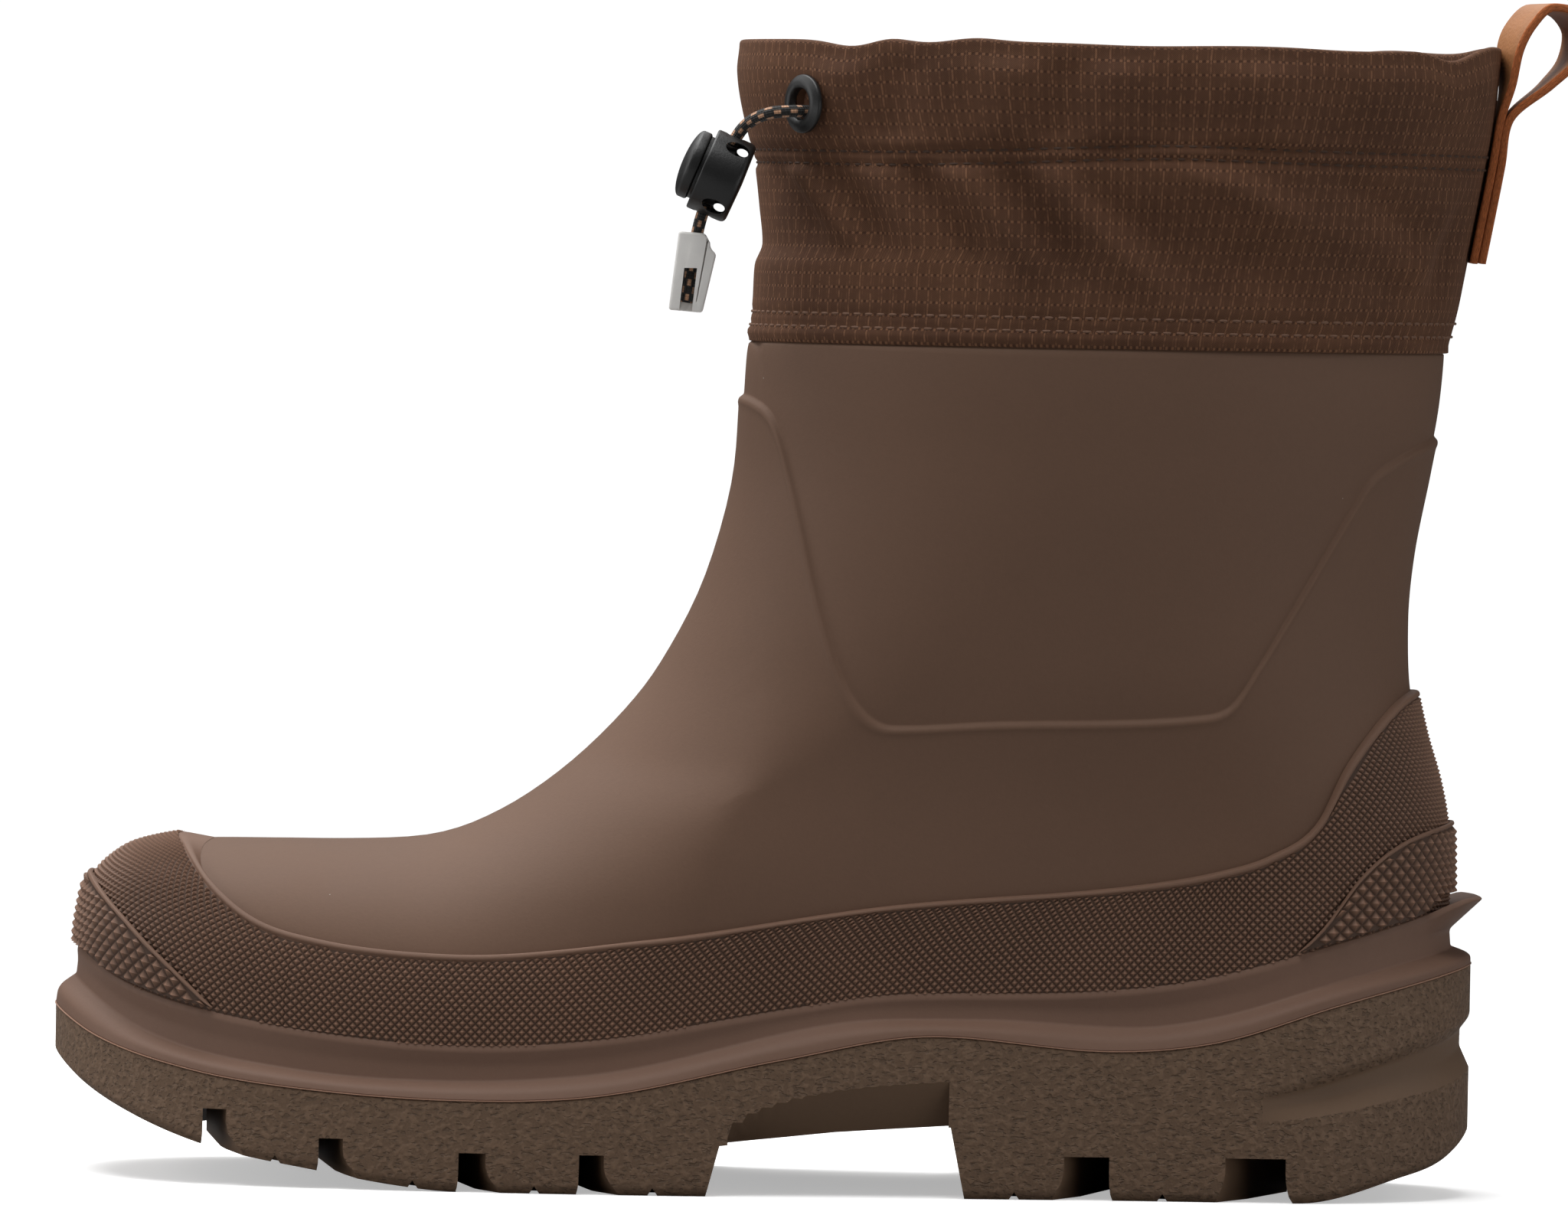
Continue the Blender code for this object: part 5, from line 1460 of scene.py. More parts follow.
def cuff(z, turn, inset=0.0):
    """Points and level normals of the dressed cuff: ring, seams, puffed channel, folds and wavy top."""
    z, turn = np.broadcast_arrays(np.asarray(z, dtype=float), turn)
    ring = cuff_ring(z, turn, inset)
    around = cuff_ring(z, turn + TURN_STEP, inset) - cuff_ring(z, turn - TURN_STEP, inset)
    normal = unit(np.cross(around, np.broadcast_to(UP, around.shape)))
    fold, wave = cuff_field(z, turn)
    strength = bpy.context.scene.boot_sizes.folds
    out = strength * fold
    for row in CHANNEL_ROWS:
        from_seam = z - row - smooth(SEAM_WAVE, ring[..., 0])
        out = out - CHANNEL_SEAM * np.exp(-(from_seam / CHANNEL_SEAM_WIDTH) ** 2)
    puff_front, puff_gain = PUFF_SHARE
    puff = CHANNEL_PUFF * (puff_front + puff_gain * ease(ring[..., 0], *PUFF_X))
    out = out + puff * ease(z, *PUFF_LOW_Z) * (1.0 - ease(z, *PUFF_HIGH_Z))
    for row in HEM_ROWS:
        out = out - HEM_SEAM * np.exp(-((z - row) / HEM_SEAM_WIDTH) ** 2)
    out = out + HEM_ROLL * np.exp(-((z - HEM_EDGE) / HEM_ROLL_WIDTH) ** 2)
    pressed = ease(ring[..., 0], *LOOP_PRESS) * (1.0 - ease(np.abs(ring[..., 1]), *LOOP_PRESS_SIDES))
    points = ring + normal * (out * (1.0 - pressed))[..., None]
    points[..., 2] += strength * wave
    return points, normal


def stitch_row(points, normals, run, thickness, finish):
    """Joined stitches along a closed line: small bent capsules, one at each point, on its normals."""
    tangent = unit(np.roll(points, -1, axis=0) - np.roll(points, 1, axis=0))
    across = np.cross(tangent, normals)
    steps = STITCH_RUN * run / 2
    girth = STITCH_GIRTH * thickness / 2
    lift = (STITCH_LIFT - STITCH_SUNK) * thickness
    angle = np.arange(STITCH_SIDES) * 2.0 * math.pi / STITCH_SIDES
    up = lift[:, None] + girth[:, None] * np.cos(angle)
    side = girth[:, None] * np.sin(angle)
    capsules = points[:, None, None] + tangent[:, None, None] * steps[None, :, None, None]
    capsules = capsules + normals[:, None, None] * up[None, ..., None]
    capsules = capsules + across[:, None, None] * side[None, ..., None]
    one = grid(capsules[0])
    faces = one[1][None, :, ::-1] + (np.arange(len(points)) * len(one[0]))[:, None, None]
    faces = faces.reshape(-1, 4)
    return capsules.reshape(-1, 3), faces, np.full(len(faces), finish), None


def even_turns(ring, turns, pitch, multiple=1):
    """Turns at even steps of about a pitch along a closed ring of points, a multiple of them in all."""
    run = travel(np.concatenate((ring, ring[:1])))
    count = multiple * int(round(run[-1] / (pitch * multiple)))
    return np.interp(np.arange(count) * run[-1] / count, run, np.concatenate((turns, (2.0,))))


class BOOT_OT_cuff(bpy.types.Operator):
    """Fabric cuff with folds, drawcord channel, hem and stitching"""

    bl_idname = "boot.cuff"
    bl_label = "Cuff"

    def execute(self, context):
        """Outer cloth up, over the top edge and down inside, on a map in millimetres."""
        sizes, colours = settings()
        turn = np.linspace(0.0, 2.0, 2 * HALF_COLUMNS + 1)
        low, high = CUFF_Z
        outer_z = np.linspace(low, high, CUFF_ROWS)
        inner_z = np.linspace(high, low, CUFF_INNER_ROWS)
        outer = cuff(outer_z[:, None], turn[None])[0]
        inner = cuff(inner_z[:, None], turn[None], CUFF_WALL)[0]
        lift = np.linspace(0.0, math.pi, CUFF_EDGE_STEPS)[1:-1]
        edge_blend = ((1.0 - np.cos(lift)) / 2)[:, None, None]
        edge = outer[-1] * (1.0 - edge_blend) + inner[0] * edge_blend
        edge[..., 2] += 0.5 * CUFF_WALL * np.sin(lift)[:, None]
        hem = inner[-1] * (1.0 - edge_blend) + outer[0] * edge_blend
        hem[..., 2] -= HEM_TURN * np.sin(lift)[:, None]
        points = np.concatenate((outer, edge, inner, hem, outer[:1]))
        run = travel(cuff_ring(np.float64(CUFF_MAP_Z), turn))
        over, under = np.full(len(edge), high + 1.0), np.full(len(hem) + 1, low)
        rise = np.concatenate((outer_z, over, inner_z, under))
        uv = np.stack(np.broadcast_arrays(run[None], rise[:, None]), axis=-1)
        fabric = shared("ripstop_fabric", ripstop_fabric, colours.cuff, colours.ripstop)
        mesh = build_mesh("cuff_cloth", [grid(points, wrap_columns=False, uv=uv)], CLOTH_SHARP)
        axis, spot = eyelet_axis()
        hole = drill("cuff_hole", EYELET_BORE, EYELET_REACH, spot, axis, UP, EYELET_SIDES, fabric)
        mesh.materials.append(fabric)
        add_piece("cuff_cloth", carve(mesh, [hole], CLOTH_SHARP), [fabric], ["cuff"])
        rows = []
        lines = [(z, SEAM_WAVE, 0) for z in CHANNEL_ROWS] + [(z, HEM_WAVE, 1) for z in HEM_ROWS]
        run, thick = sizes.stitch_length / MM, sizes.thread / MM
        for z, wave, finish in lines:
            line = even_turns(cuff(np.float64(z), TURNS)[0], TURNS, sizes.stitch_pitch / MM)
            height = z + smooth(wave, cuff_ring(np.float64(z), line)[:, 0])
            rows.append(stitch_row(*cuff(height, line), run, thick, finish))
        # The hem thread is a lighter copy of the channel thread, partly painted light
        threads = [shared("channel_thread", sewing_thread, colours.thread),
                   shared("hem_thread", sewing_thread, shade(colours.thread, HEM_THREAD_PALE_AND_LIT))]
        add_piece("cuff_stitches", build_mesh("cuff_stitches", rows), threads)
        return {"FINISHED"}


def eyelet_axis():
    """Outward axis and middle of the eyelet on the cuff's outer side, turned a little to the front."""
    turn = TURNS[:HALF_COLUMNS + 1]
    ring = cuff_ring(np.float64(EYELET_Z), turn)
    before, here, after = np.interp((EYELET_X - 1.0, EYELET_X, EYELET_X + 1.0), ring[:, 0], ring[:, 1])
    angle = math.atan2(-2.0, after - before) - EYELET_EXTRA_TURN
    axis = np.array((math.cos(angle), math.sin(angle), 0.0))
    lift = EYELET_THICKNESS / 2 + GAP + EYELET_RADIUS * math.sin(EYELET_EXTRA_TURN)
    return axis, np.array((EYELET_X, here, EYELET_Z)) + axis * lift


class BOOT_OT_eyelet(bpy.types.Operator):
    """Plastic eyelet with a domed flange"""

    bl_idname = "boot.eyelet"
    bl_label = "Eyelet"

    def execute(self, context):
        """Closed profile of flange and bore turned round the eyelet's axis."""
        _, colours = settings()
        axis, spot = eyelet_axis()
        half = EYELET_THICKNESS / 2
        wider, deeper = EYELET_MOUTH
        profile = ((EYELET_BORE, -half), (EYELET_RADIUS, -half), (EYELET_RADIUS, 0.0),
                   (EYELET_RADIUS - EYELET_BEVEL, half), (EYELET_BORE + wider, half),
                   (EYELET_BORE, half - deeper))
        ring = turned(round_corners(profile, EYELET_SOFT, closed=True), spot, axis, UP)
        plastic = shared("satin_plastic", satin_plastic, colours.plastic)
        mesh = build_mesh("eyelet_ring", [grid(ring, wrap_rows=True)])
        add_piece("eyelet_ring", mesh, [plastic], ["eyelet"])
        return {"FINISHED"}


class BOOT_OT_pull_loop(bpy.types.Operator):
    """Leather pull loop with raw edges"""

    bl_idname = "boot.pull_loop"
    bl_label = "Pull loop"

    def execute(self, context):
        """Rounded strip section carried along a smooth path and twisted towards the top."""
        _, colours = settings()
        foot = [(float(column(CUFF, 2, z)) + LOOP_SEAT + LOOP_STRIP / 2, z) for z in LOOP_FOOT_Z]
        outer = [(x + LOOP_STRIP + LOOP_SEAT, z) for x, z in reversed(foot)]
        knots = np.array(foot + list(LOOP_FRONT_LEG + LOOP_TOP + LOOP_BACK_LEG) + outer)
        path, even = even_path(knots, LOOP_STEPS)
        tangent = unit(np.gradient(path, axis=0))
        normal = np.column_stack((tangent[:, 1], -tangent[:, 0]))
        half, thick = LOOP_WIDTH / 2, LOOP_STRIP / 2
        box = ((-half, -thick), (half, -thick), (half, thick), (-half, thick))
        section = round_corners(box, (LOOP_ROUND,) * 4, LOOP_ROUND_STEPS, closed=True)
        section = np.concatenate((section, section[:1]))
        twist = (LOOP_TWIST * ease(path[:, 1], *LOOP_TWIST_Z))[:, None]
        across, face = section[None, :, 0], section[None, :, 1]
        x = path[:, :1] + normal[:, :1] * face + across * np.sin(twist)
        z = path[:, 1:] + normal[:, 1:] * face
        points = np.stack((x, across * np.cos(twist), z), axis=-1)
        uv = np.stack(np.broadcast_arrays(even[:, None], face), axis=-1)
        on_edge = np.abs(0.5 * (section[:-1, 0] + section[1:, 0])) > half - LOOP_ROUND * LOOP_EDGE_SHARE
        finish = np.broadcast_to(on_edge.astype(int)[None], (LOOP_STEPS - 1, len(section) - 1))
        strip = grid(points, wrap_columns=False, finish=finish, uv=uv)
        ends = [flip(lid(points[0, :-1], 1)), lid(points[-1, :-1], 1)]
        mesh = cutter_mesh("loop_strip", [strip] + ends)
        faces = [shared("leather_face", leather_face, colours.leather),
                 shared("leather_edge", leather_edge, colours.raw_edge)]
        add_piece("loop_strip", mesh, faces, ["pull_loop"])
        return {"FINISHED"}


def sole_lines():
    """Rings and heights that outsole and welt share, column by column."""
    middle = level_at(LEDGE)
    edge = offset(middle, LEDGE_PROUD, flat=True)
    band = offset(middle, BAND_PROUD, flat=True)
    parting_z = smooth(PARTING, edge[:, 0])
    ledge_z = np.maximum(smooth(LEDGE, band[:, 0]), parting_z + LEDGE_RISE)
    band_z = np.maximum(smooth(RAND_LOW, band[:, 0]), ledge_z + BAND_RISE)
    at_back = np.clip(1.0 - np.abs(edge[:, 1]) / SPUR_HALF_WIDTH, 0.0, 1.0)
    spur = ease(at_back, 0.0, SPUR_SIDES) * (edge[:, 0] > HEEL_START_X)
    return edge, parting_z, ledge_z, band_z, spur


class BOOT_OT_upper(bpy.types.Operator):
    """Rubber shell with its raised panel and its lining"""

    bl_idname = "boot.upper"
    bl_label = "Upper"

    def execute(self, context):
        """Rows of the shell's levels: raised below the panel's rounded edge, plain above, then inside."""
        _, colours = settings()
        top = level_at(RAND_TOP)
        edge = level_at(PANEL_EDGE)
        first, last = PANEL_ROWS[0] * PANEL_BEVEL, PANEL_ROWS[-1] * PANEL_BEVEL
        start = edge + first
        levels = [top * share for share in HIDDEN_SHARES]
        levels += [top + (start - top) * share for share in np.linspace(0.0, 1.0, VAMP_ROWS)[:-1]]
        levels += [edge + PANEL_BEVEL * row for row in PANEL_ROWS]
        finish = edge + last
        levels += [finish + (SHOULDER_RING - finish) * s for s in np.linspace(0.0, 1.0, SHAFT_ROWS)[1:]]
        levels += [np.full_like(edge, SHOULDER_RING + s) for s in SHOULDER_STEPS]
        levels = np.stack(levels)
        part = (levels - edge) / PANEL_BEVEL
        lip = PANEL_LIP * np.exp(-((part - PANEL_LIP_PART) / PANEL_LIP_WIDTH) ** 2)
        raised = PANEL_STEP * (1.0 - ease(part, 0.0, 1.0)) + lip
        outside = offset(levels, raised, TURNS[None])
        inside = offset(np.linspace(TOP_RING, 0.0, LINING_ROWS)[:, None], -WALL, TURNS[None])
        for rows, i in ((outside, 0), (inside, -1)):
            rows[i, :, 2] = smooth(FOOTBED, rows[i, :, 0])
        points = np.concatenate((outside, inside))
        lined = (np.arange(len(points)) >= len(outside) - 1).astype(int)
        mesh = build_mesh("shell", [grid(points, wrap_rows=True, finish=lined[:, None])], SHELL_SHARP)
        finishes = [shared("shell_rubber", matte_rubber, colours.shell, SHELL_ROUGH),
                    shared("lining", felt, colours.lining)]
        add_piece("shell", mesh, finishes, ["upper"])
        return {"FINISHED"}


def knurl(low, top, base, pitch, relief):
    """Pyramids in staggered rows over the shell between two levels per column.

    A lattice of half a pitch runs along the ring and, by length of surface, up from the feather edge.
    Every second point of it is a tip, and the four points beside the tip are the corners of its foot.
    Corners past the field's border are drawn back to it. The map holds the share of the height, which the
    finish turns into painted shade at the feet and a painted highlight on the tips.
    """
    turn = even_turns(shell(KNURL_LEVEL), TURNS, pitch / 2, 2)
    samples = np.linspace(0.0, top.max(), KNURL_SAMPLES)
    walls = shell(samples[:, None], turn[None])
    climb = np.zeros(walls.shape[:2])
    climb[1:] = np.cumsum(np.linalg.norm(np.diff(walls, axis=0), axis=-1), axis=0)
    height = np.arange(0.0, climb.max(), pitch / 2)
    index = np.clip((climb[:, :, None] < height).sum(axis=0), 1, KNURL_SAMPLES - 1).T
    columns = np.arange(len(turn))[None]
    under, over = climb[index - 1, columns], climb[index, columns]
    share = np.clip((height[:, None] - under) / np.maximum(over - under, 1e-6), 0.0, 1.0)
    level = samples[index - 1] + share * (samples[1] - samples[0])
    row = np.arange(len(height))[:, None]
    tip = (row + columns) % 2 == 0
    low_here, top_here = read_turn(low, turn), read_turn(top, turn)
    inside = (level > low_here) & (level < top_here)
    inside[[0, -1]] = False
    level = np.clip(level, low_here, np.maximum(top_here, low_here))
    k, j = np.nonzero(tip & inside)
    count = len(turn)
    centre, right, left = k * count + j, k * count + (j + 1) % count, k * count + (j - 1) % count
    above, below = (k + 1) * count + j, (k - 1) * count + j
    corners = ((centre, right, above), (centre, above, left), (centre, left, below), (centre, below, right))
    faces = np.concatenate([np.stack(three, axis=-1) for three in corners])
    used, faces = np.unique(faces, return_inverse=True)
    used_turn = np.broadcast_to(turn[None], level.shape).ravel()[used]
    share = tip.ravel()[used].astype(float)
    points = offset(level.ravel()[used], base + relief * share, used_turn)
    faces = faces.reshape(-1, 3)
    return points, faces, np.zeros(len(faces), dtype=int), np.column_stack((share, share))


class BOOT_OT_rand(bpy.types.Operator):
    """Knurled rubber band round the foot"""

    bl_idname = "boot.rand"
    bl_label = "Rand"

    def execute(self, context):
        """Sunk field under the pyramids, a plain rounded lip along the top, and the back of the band."""
        sizes, colours = settings()
        _, _, _, band_z, _ = sole_lines()
        low, start = [level_at(band_z + drop) for drop in RAND_START]
        top = level_at(RAND_TOP)
        lip = RAND_LIP / rise_per_level(top)
        outer = SEAT + RAND_THICKNESS
        field = outer - KNURL_SINK
        shares = np.linspace(0.0, 1.0, RAND_FIELD_ROWS)
        field_top = top - RAND_FIELD_DROP * lip
        rows = [offset(low + (field_top - low) * share, field) for share in shares]
        narrow, wide = RAND_FEATHER
        at_toe = 1.0 - ease(place_and_side(TURNS)[0], 0.0, RAND_FEATHER_END)
        crest = outer - RAND_TOE_DROP * at_toe
        rows += [offset(top - lip, crest), offset(top, crest - RAND_CREST_FALL)]
        feather = top + (narrow + (wide - narrow) * at_toe) / rise_per_level(top)
        rows += [offset(feather, PANEL_STEP + RAND_FEATHER_LIFT)]
        rows += [offset(level, SEAT - RAND_SEAT_PLAY) for level in (top, 0.5 * (top + low), low)]
        ring = soften(rows, RAND_SOFT)
        pitch, relief = sizes.rand_pitch / MM, sizes.rand_relief / MM
        field_knurl = knurl(start, field_top, field - KNURL_TUCK, pitch, relief)
        rubber = shared("rand_rubber", knurled_rubber, colours.rand, RAND_ROUGH)
        band = grid(ring, wrap_rows=True, uv=plain_map(ring, len(shares)))
        mesh = build_mesh("rand_band", [band, field_knurl], KNURL_SHARP, weld=False)
        add_piece("rand_band", mesh, [rubber], ["rand"])
        for node, line, middle in (("toe_guard", TOE_GUARD_TOP, 0.0), ("heel_guard", HEEL_GUARD_TOP, 1.0)):
            mesh = guard_mesh(node + "_patch", line, middle, sizes)
            add_piece(node + "_patch", mesh, [rubber], [node])
        return {"FINISHED"}


def plain_map(ring, field_rows):
    """Map of a band's rows: no height on its sunk field, the plain lip's share past it; in the finish the
    field takes the painted shade of the feet and the lip a middle tone.
    """
    share = np.where(np.arange(len(ring)) < field_rows, 0.0, PLAIN_SHARE)
    return np.broadcast_to(share[:, None, None], ring.shape[:2] + (2,))


def guard_mesh(name, line, middle, sizes):
    """Patch on the rand below a side line, with a plain bead along its border and coarse pyramids."""
    _, _, _, band_z, spur = sole_lines()
    low, top = level_at(band_z + 2 * GAP + SPUR_RISE * spur), level_at(line)
    inner = SEAT + RAND_THICKNESS + GUARD_LIFT
    outer = inner + GUARD_THICKNESS
    reach = np.linspace(0.0, 0.5, GUARD_SEARCH)
    open_part = read_turn(top - low, middle + reach) > GUARD_OPEN
    far = reach[np.argmin(open_part)] if not open_part.all() else reach[-1]
    turn = middle + far * np.linspace(-1.0, 1.0, GUARD_COLUMNS)
    low_here, top_here = read_turn(low, turn), read_turn(top, turn)
    top_here = np.maximum(top_here, low_here)
    lip = np.minimum(GUARD_LIP / rise_per_level(top_here, turn), GUARD_LIP_SHARE * (top_here - low_here))
    field = outer - KNURL_SINK
    shares = np.linspace(0.0, 1.0, GUARD_FIELD_ROWS)
    field_top = top_here - GUARD_FIELD_DROP * lip
    rows = [(low_here + (field_top - low_here) * share, field) for share in shares]
    rows += [(top_here - lip, outer), (top_here, outer - GUARD_CREST_FALL)]
    rows += [(top_here, inner), (low_here, inner)]
    ring = soften([offset(level, distance, turn) for level, distance in rows], GUARD_SOFT)
    inside = np.abs(np.mod(TURNS - middle + 1.0, 2.0) - 1.0) < far
    knurl_top = np.where(inside, top - GUARD_FIELD_DROP * GUARD_LIP / rise_per_level(top), 0.0)
    coarse = knurl(low, knurl_top, field - KNURL_TUCK, sizes.guard_pitch / MM, sizes.guard_relief / MM)
    patch = grid(ring, wrap_rows=True, wrap_columns=False, uv=plain_map(ring, len(shares)))
    return build_mesh(name, [patch, coarse], KNURL_SHARP, weld=False)


class BOOT_OT_welt(bpy.types.Operator):
    """Welt with its sloped ledge, plain band and kick-off spur"""

    bl_idname = "boot.welt"
    bl_label = "Welt"

    def execute(self, context):
        """Rounded section carried round the boot, with a thin flash along the parting line drawn lighter as
        a painted highlight.
        """
        _, colours = settings()
        edge, parting_z, ledge_z, band_z, spur = sole_lines()
        low, middle, top = level_at(parting_z), level_at(ledge_z), level_at(band_z)
        base = parting_z + GAP / 2
        rise = SPUR_RISE * spur
        reach = BAND_PROUD + SPUR_REACH * spur
        foot = (RAND_THICKNESS + GAP) * np.minimum(SPUR_FOOT * spur, 1.0)
        rows = [
            at_height(edge, base),
            level_ring(low, LEDGE_PROUD, base + LEDGE_LIP * (ledge_z - base)),
            level_ring(middle, BAND_PROUD + BAND_FLARE, ledge_z),
            level_ring(middle, BAND_PROUD, ledge_z + BAND_WAIST * (band_z - ledge_z)),
            level_ring(top, reach, band_z - WELT_LIP + rise + 0.5 * WELT_LIP * spur),
            level_ring(top, reach - BAND_ROUND - SPUR_EDGE * spur, band_z + rise),
            level_ring(top, SEAT + foot, band_z),
            level_ring(top, SEAT, band_z - GAP - SPUR_EDGE * spur),
            level_ring(0.5 * (low + top), SEAT, 0.5 * (base + band_z)),
            level_ring(low, SEAT, base),
        ]
        ring = soften(rows, WELT_SOFT, 6)
        half = FLASH_WIDTH / 2
        normal = outward(low, flat=True)
        tip = FLASH_TIP * half
        corners = ((FLASH_FOOT, -half), (half, -tip), (half, tip), (FLASH_FOOT, half))
        flash = np.stack([at_height(edge + normal * out, base - GAP / 2 + up) for out, up in corners])
        # The flash's finish is the welt colour made lighter: a painted highlight on the thin ridge
        finishes = [shared("welt_rubber", matte_rubber, colours.welt, WELT_ROUGH),
                    shared("flash_rubber", matte_rubber, shade(colours.welt, FLASH_PAINTED_HIGHLIGHT), FLASH_ROUGH)]
        patches = [grid(ring, wrap_rows=True), grid(flash, wrap_rows=True, finish=1)]
        mesh = build_mesh("welt_ring", patches, WELT_SHARP)
        add_piece("welt_ring", mesh, finishes, ["welt"])
        return {"FINISHED"}


def groove_sections(front_x, width, top_z, sweep, edge_y, front_flare, rear_flare):
    """Rings of a swept groove from below the floor to its top, with walls that flare by the sole's edge."""
    levels = np.linspace(BELOW_FLOOR, top_z, GROOVE_LEVELS)
    floor_z = float(smooth(TREAD, front_x + width))
    fall = np.clip(1.0 - (levels - floor_z) / (GROOVE_FLARE_HEIGHT * (top_z - floor_z)), 0.0, 1.0)
    flare = fall[:, None] ** GROOVE_FLARE_POWER * GROOVE_FLARED
    half = np.array((CUTTER_REACH, edge_y, edge_y - GROOVE_FLARE_RUN, 0.0))
    y = np.concatenate((-half, half[-2::-1]))
    line = front_x + sweep * (1.0 - np.abs(y) / edge_y)
    front, rear = line - front_flare * flare, line + width + rear_flare * flare
    x = np.concatenate((front, rear[:, ::-1]), axis=1)
    side = np.broadcast_to(np.concatenate((y, y[::-1])), x.shape)
    return np.stack((x, side, np.broadcast_to(levels[:, None], x.shape)), axis=-1)


class BOOT_OT_outsole(bpy.types.Operator):
    """Lugged rubber outsole with pebbled sides and smooth grooves"""

    bl_idname = "boot.outsole"
    bl_label = "Outsole"

    def execute(self, context):
        """Cup of rings from the footbed over the rim and down to the tread, carved by grooves and arch."""
        _, colours = settings()
        pebbled = shared("pebbled_rubber", pebbled_rubber, colours.sole)
        # Darker copy of the sole rubber for the recessed faces: slight painted shade
        plain = shared("sole_rubber", matte_rubber, shade(colours.sole, GROOVE_PAINTED_SHADE), SOLE_ROUGH)
        edge, parting_z = sole_lines()[:2]
        rim_level = level_at(parting_z)
        rim_z = parting_z - GAP / 2
        floor = offset(0.0, SEAT, flat=True)
        bed = smooth(FOOTBED, floor[:, 0]) - GAP
        rows = [at_height(floor, bed)]
        for share in CUP_SHARES:
            rows.append(level_ring(rim_level * share, SEAT, bed + (rim_z - bed) * share))
        rows.append(at_height(edge, rim_z))
        tread_z = smooth(TREAD, edge[:, 0])
        start, end = HEEL_WEDGE_X
        wedge = np.clip((edge[:, 0] - start) / (end - start), 0.0, 1.0)
        normal = outward(rim_level, flat=True)
        for share, depth, opening in SOLE_SIDE:
            spread = 1.0 + HEEL_WEDGE_OPENING * opening * wedge
            height = HEEL_WEDGE_MIDDLE + (share - HEEL_WEDGE_MIDDLE) * spread
            inset = (HEEL_WEDGE_DEPTH * depth * np.minimum(WEDGE_FADE * wedge, 1.0))[:, None]
            rows.append(at_height(edge - normal * inset, tread_z + (parting_z - tread_z) * height))
        rows.append(at_height(edge, tread_z + SOLE_EDGE))
        rows.append(at_height(edge - normal * SOLE_EDGE, tread_z))
        cup = soften(rows, SOLE_SOFT, SOLE_ARC, closed=False)
        first = WEDGE_FIRST + (SOLE_ARC - 1) * sum(radius > 0.0 for radius in SOLE_SOFT[:WEDGE_FIRST])
        row_index = np.arange(len(cup) - 1)[:, None]
        in_wedge = (row_index >= first) & (row_index < first + WEDGE_FACES) & (wedge[None] > WEDGE_START)
        patches = [flip(grid(cup, finish=in_wedge.astype(int))), cap(cup[0]), cap(cup[-1])]
        mesh = cutter_mesh("sole_cup", patches, pebbled)
        mesh.materials.append(plain)
        cutters = [cutter_mesh("grooves", sum((loft(groove_sections(*g)) for g in GROOVES), []), plain),
                   cutter_mesh("channels", sum((self.channel(*c) for c in CENTRE_CHANNELS), []), plain),
                   cutter_mesh("arch", prism(ARCH, 1, -CUTTER_REACH, CUTTER_REACH), plain),
                   cutter_mesh("sipes", sum((self.sipe(*sipe) for sipe in SIPES), []), plain)]
        cutters += [cutter_mesh("scoop", self.scoop(edge, side), plain) for side in (-1.0, 1.0)]
        mesh = carve(mesh, cutters, SOLE_SHARP)
        add_piece("sole_cup", mesh, [pebbled, plain], ["outsole"])
        return {"FINISHED"}

    def channel(self, front_x, back_x, half, top_z):
        """Straight groove along the middle of the tread."""
        outline = ((front_x, -half), (back_x, -half), (back_x, half), (front_x, half))
        return prism(outline, 2, BELOW_FLOOR, top_z)

    def sipe(self, x, inner_y):
        """Small blind three-sided nicks into both ends of a lug."""
        floor_z = float(smooth(TREAD, x))
        outline = ((x - 2 * SIPE_HALF, floor_z - SIPE_RISE), (x + 2 * SIPE_HALF, floor_z - SIPE_RISE),
                   (x, floor_z + SIPE_RISE))
        return prism(outline, 1, -CUTTER_REACH, -inner_y) + prism(outline, 1, inner_y, CUTTER_REACH)

    def scoop(self, edge, side):
        """Sloped recess of the arch's side, whose top line rises towards the heel."""
        x = np.linspace(SCOOP_TOP[0][0], SCOOP_TOP[-1][0], SCOOP_SECTIONS)
        top = smooth(SCOOP_TOP, x)
        half = edge[edge[:, 1] * side > 0.0]
        order = np.argsort(half[:, 0])
        wall = np.interp(x, half[order, 0], half[order, 1])
        low, high = SCOOP_Z
        foot, far = wall - side * SCOOP_DEPTH, np.full_like(x, side * CUTTER_REACH)
        beyond = top + (far - wall) * side * (top - high) / SCOOP_DEPTH
        corners = ((far, np.full_like(x, low)), (foot, np.full_like(x, low)), (foot, np.full_like(x, high)),
                   (far, beyond))
        sections = np.stack([np.stack((x, y, z), axis=-1) for y, z in corners], axis=1)
        return loft(sections)


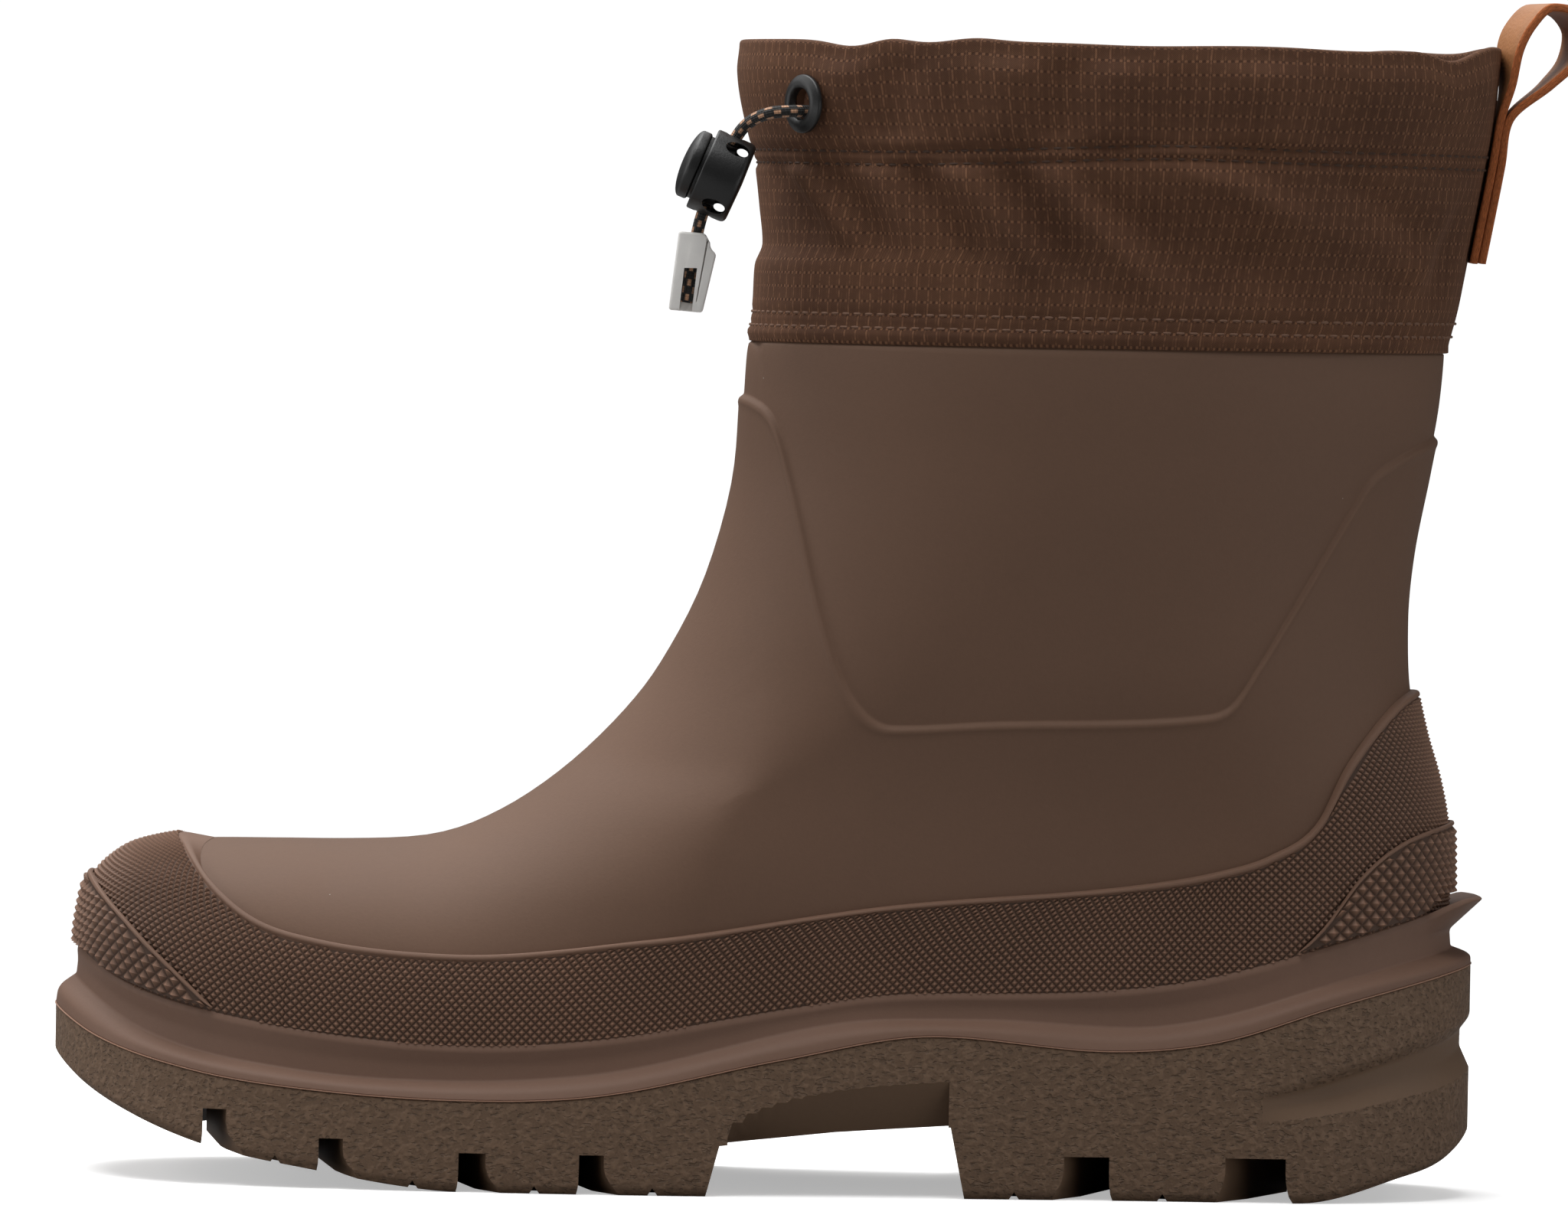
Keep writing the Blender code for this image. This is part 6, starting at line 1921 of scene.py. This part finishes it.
class BOOT_OT_insole(bpy.types.Operator):
    """Felt footbed inside the shell"""

    bl_idname = "boot.insole"
    bl_label = "Insole"

    def execute(self, context):
        """Plate between two rings on the footbed's curve, with a rounded upper edge."""
        _, colours = settings()
        inset = -WALL - INSOLE_PLAY
        ring = offset(0.0, inset, flat=True)
        bed = smooth(FOOTBED, ring[:, 0]) + GAP
        top = level_at(bed + INSOLE_THICKNESS)
        rows = [at_height(ring, bed)]
        for distance in (inset, inset - INSOLE_BAND):
            upper = offset(top, distance, flat=True)
            rows.append(at_height(upper, smooth(FOOTBED, upper[:, 0]) + GAP + INSOLE_THICKNESS))
        plate = soften(rows, INSOLE_SOFT, 5, closed=False)
        mesh = cutter_mesh("footbed", [grid(plate), flip(cap(plate[0])), cap(plate[-1])])
        add_piece("footbed", mesh, [shared("insole_felt", felt, colours.insole)], ["insole"])
        return {"FINISHED"}


OPERATORS = (BOOT_OT_stage, BOOT_OT_cord, BOOT_OT_eyelet, BOOT_OT_pull_loop, BOOT_OT_cuff, BOOT_OT_upper,
             BOOT_OT_rand, BOOT_OT_welt, BOOT_OT_outsole, BOOT_OT_insole)


class BOOT_PT_panel(bpy.types.Panel):
    """Sizes, colours and pieces of the boot"""

    bl_idname = "BOOT_PT_panel"
    bl_label = "Winter Boot"
    bl_space_type = "VIEW_3D"
    bl_region_type = "UI"
    bl_category = "Boot"

    def draw(self, context):
        """One line for each size, colour and piece."""
        for group in (context.scene.boot_sizes, context.scene.boot_colours):
            for name in group.__annotations__:
                self.layout.prop(group, name)
        for operator in OPERATORS:
            self.layout.operator(operator.bl_idname)


CLASSES = (BootSizes, BootColours) + OPERATORS + (BOOT_PT_panel,)


def register():
    """Add the classes and the scene's properties."""
    for item in CLASSES:
        bpy.utils.register_class(item)
    bpy.types.Scene.boot_sizes = PointerProperty(type=BootSizes)
    bpy.types.Scene.boot_colours = PointerProperty(type=BootColours)


def unregister():
    """Remove the scene's properties and the classes."""
    del bpy.types.Scene.boot_colours
    del bpy.types.Scene.boot_sizes
    for item in reversed(CLASSES):
        bpy.utils.unregister_class(item)


def main():
    """Build every piece in order."""
    register()
    for operator in OPERATORS:
        _, name = operator.bl_idname.split(".")
        getattr(bpy.ops.boot, name)()


if __name__ == "__main__":
    main()
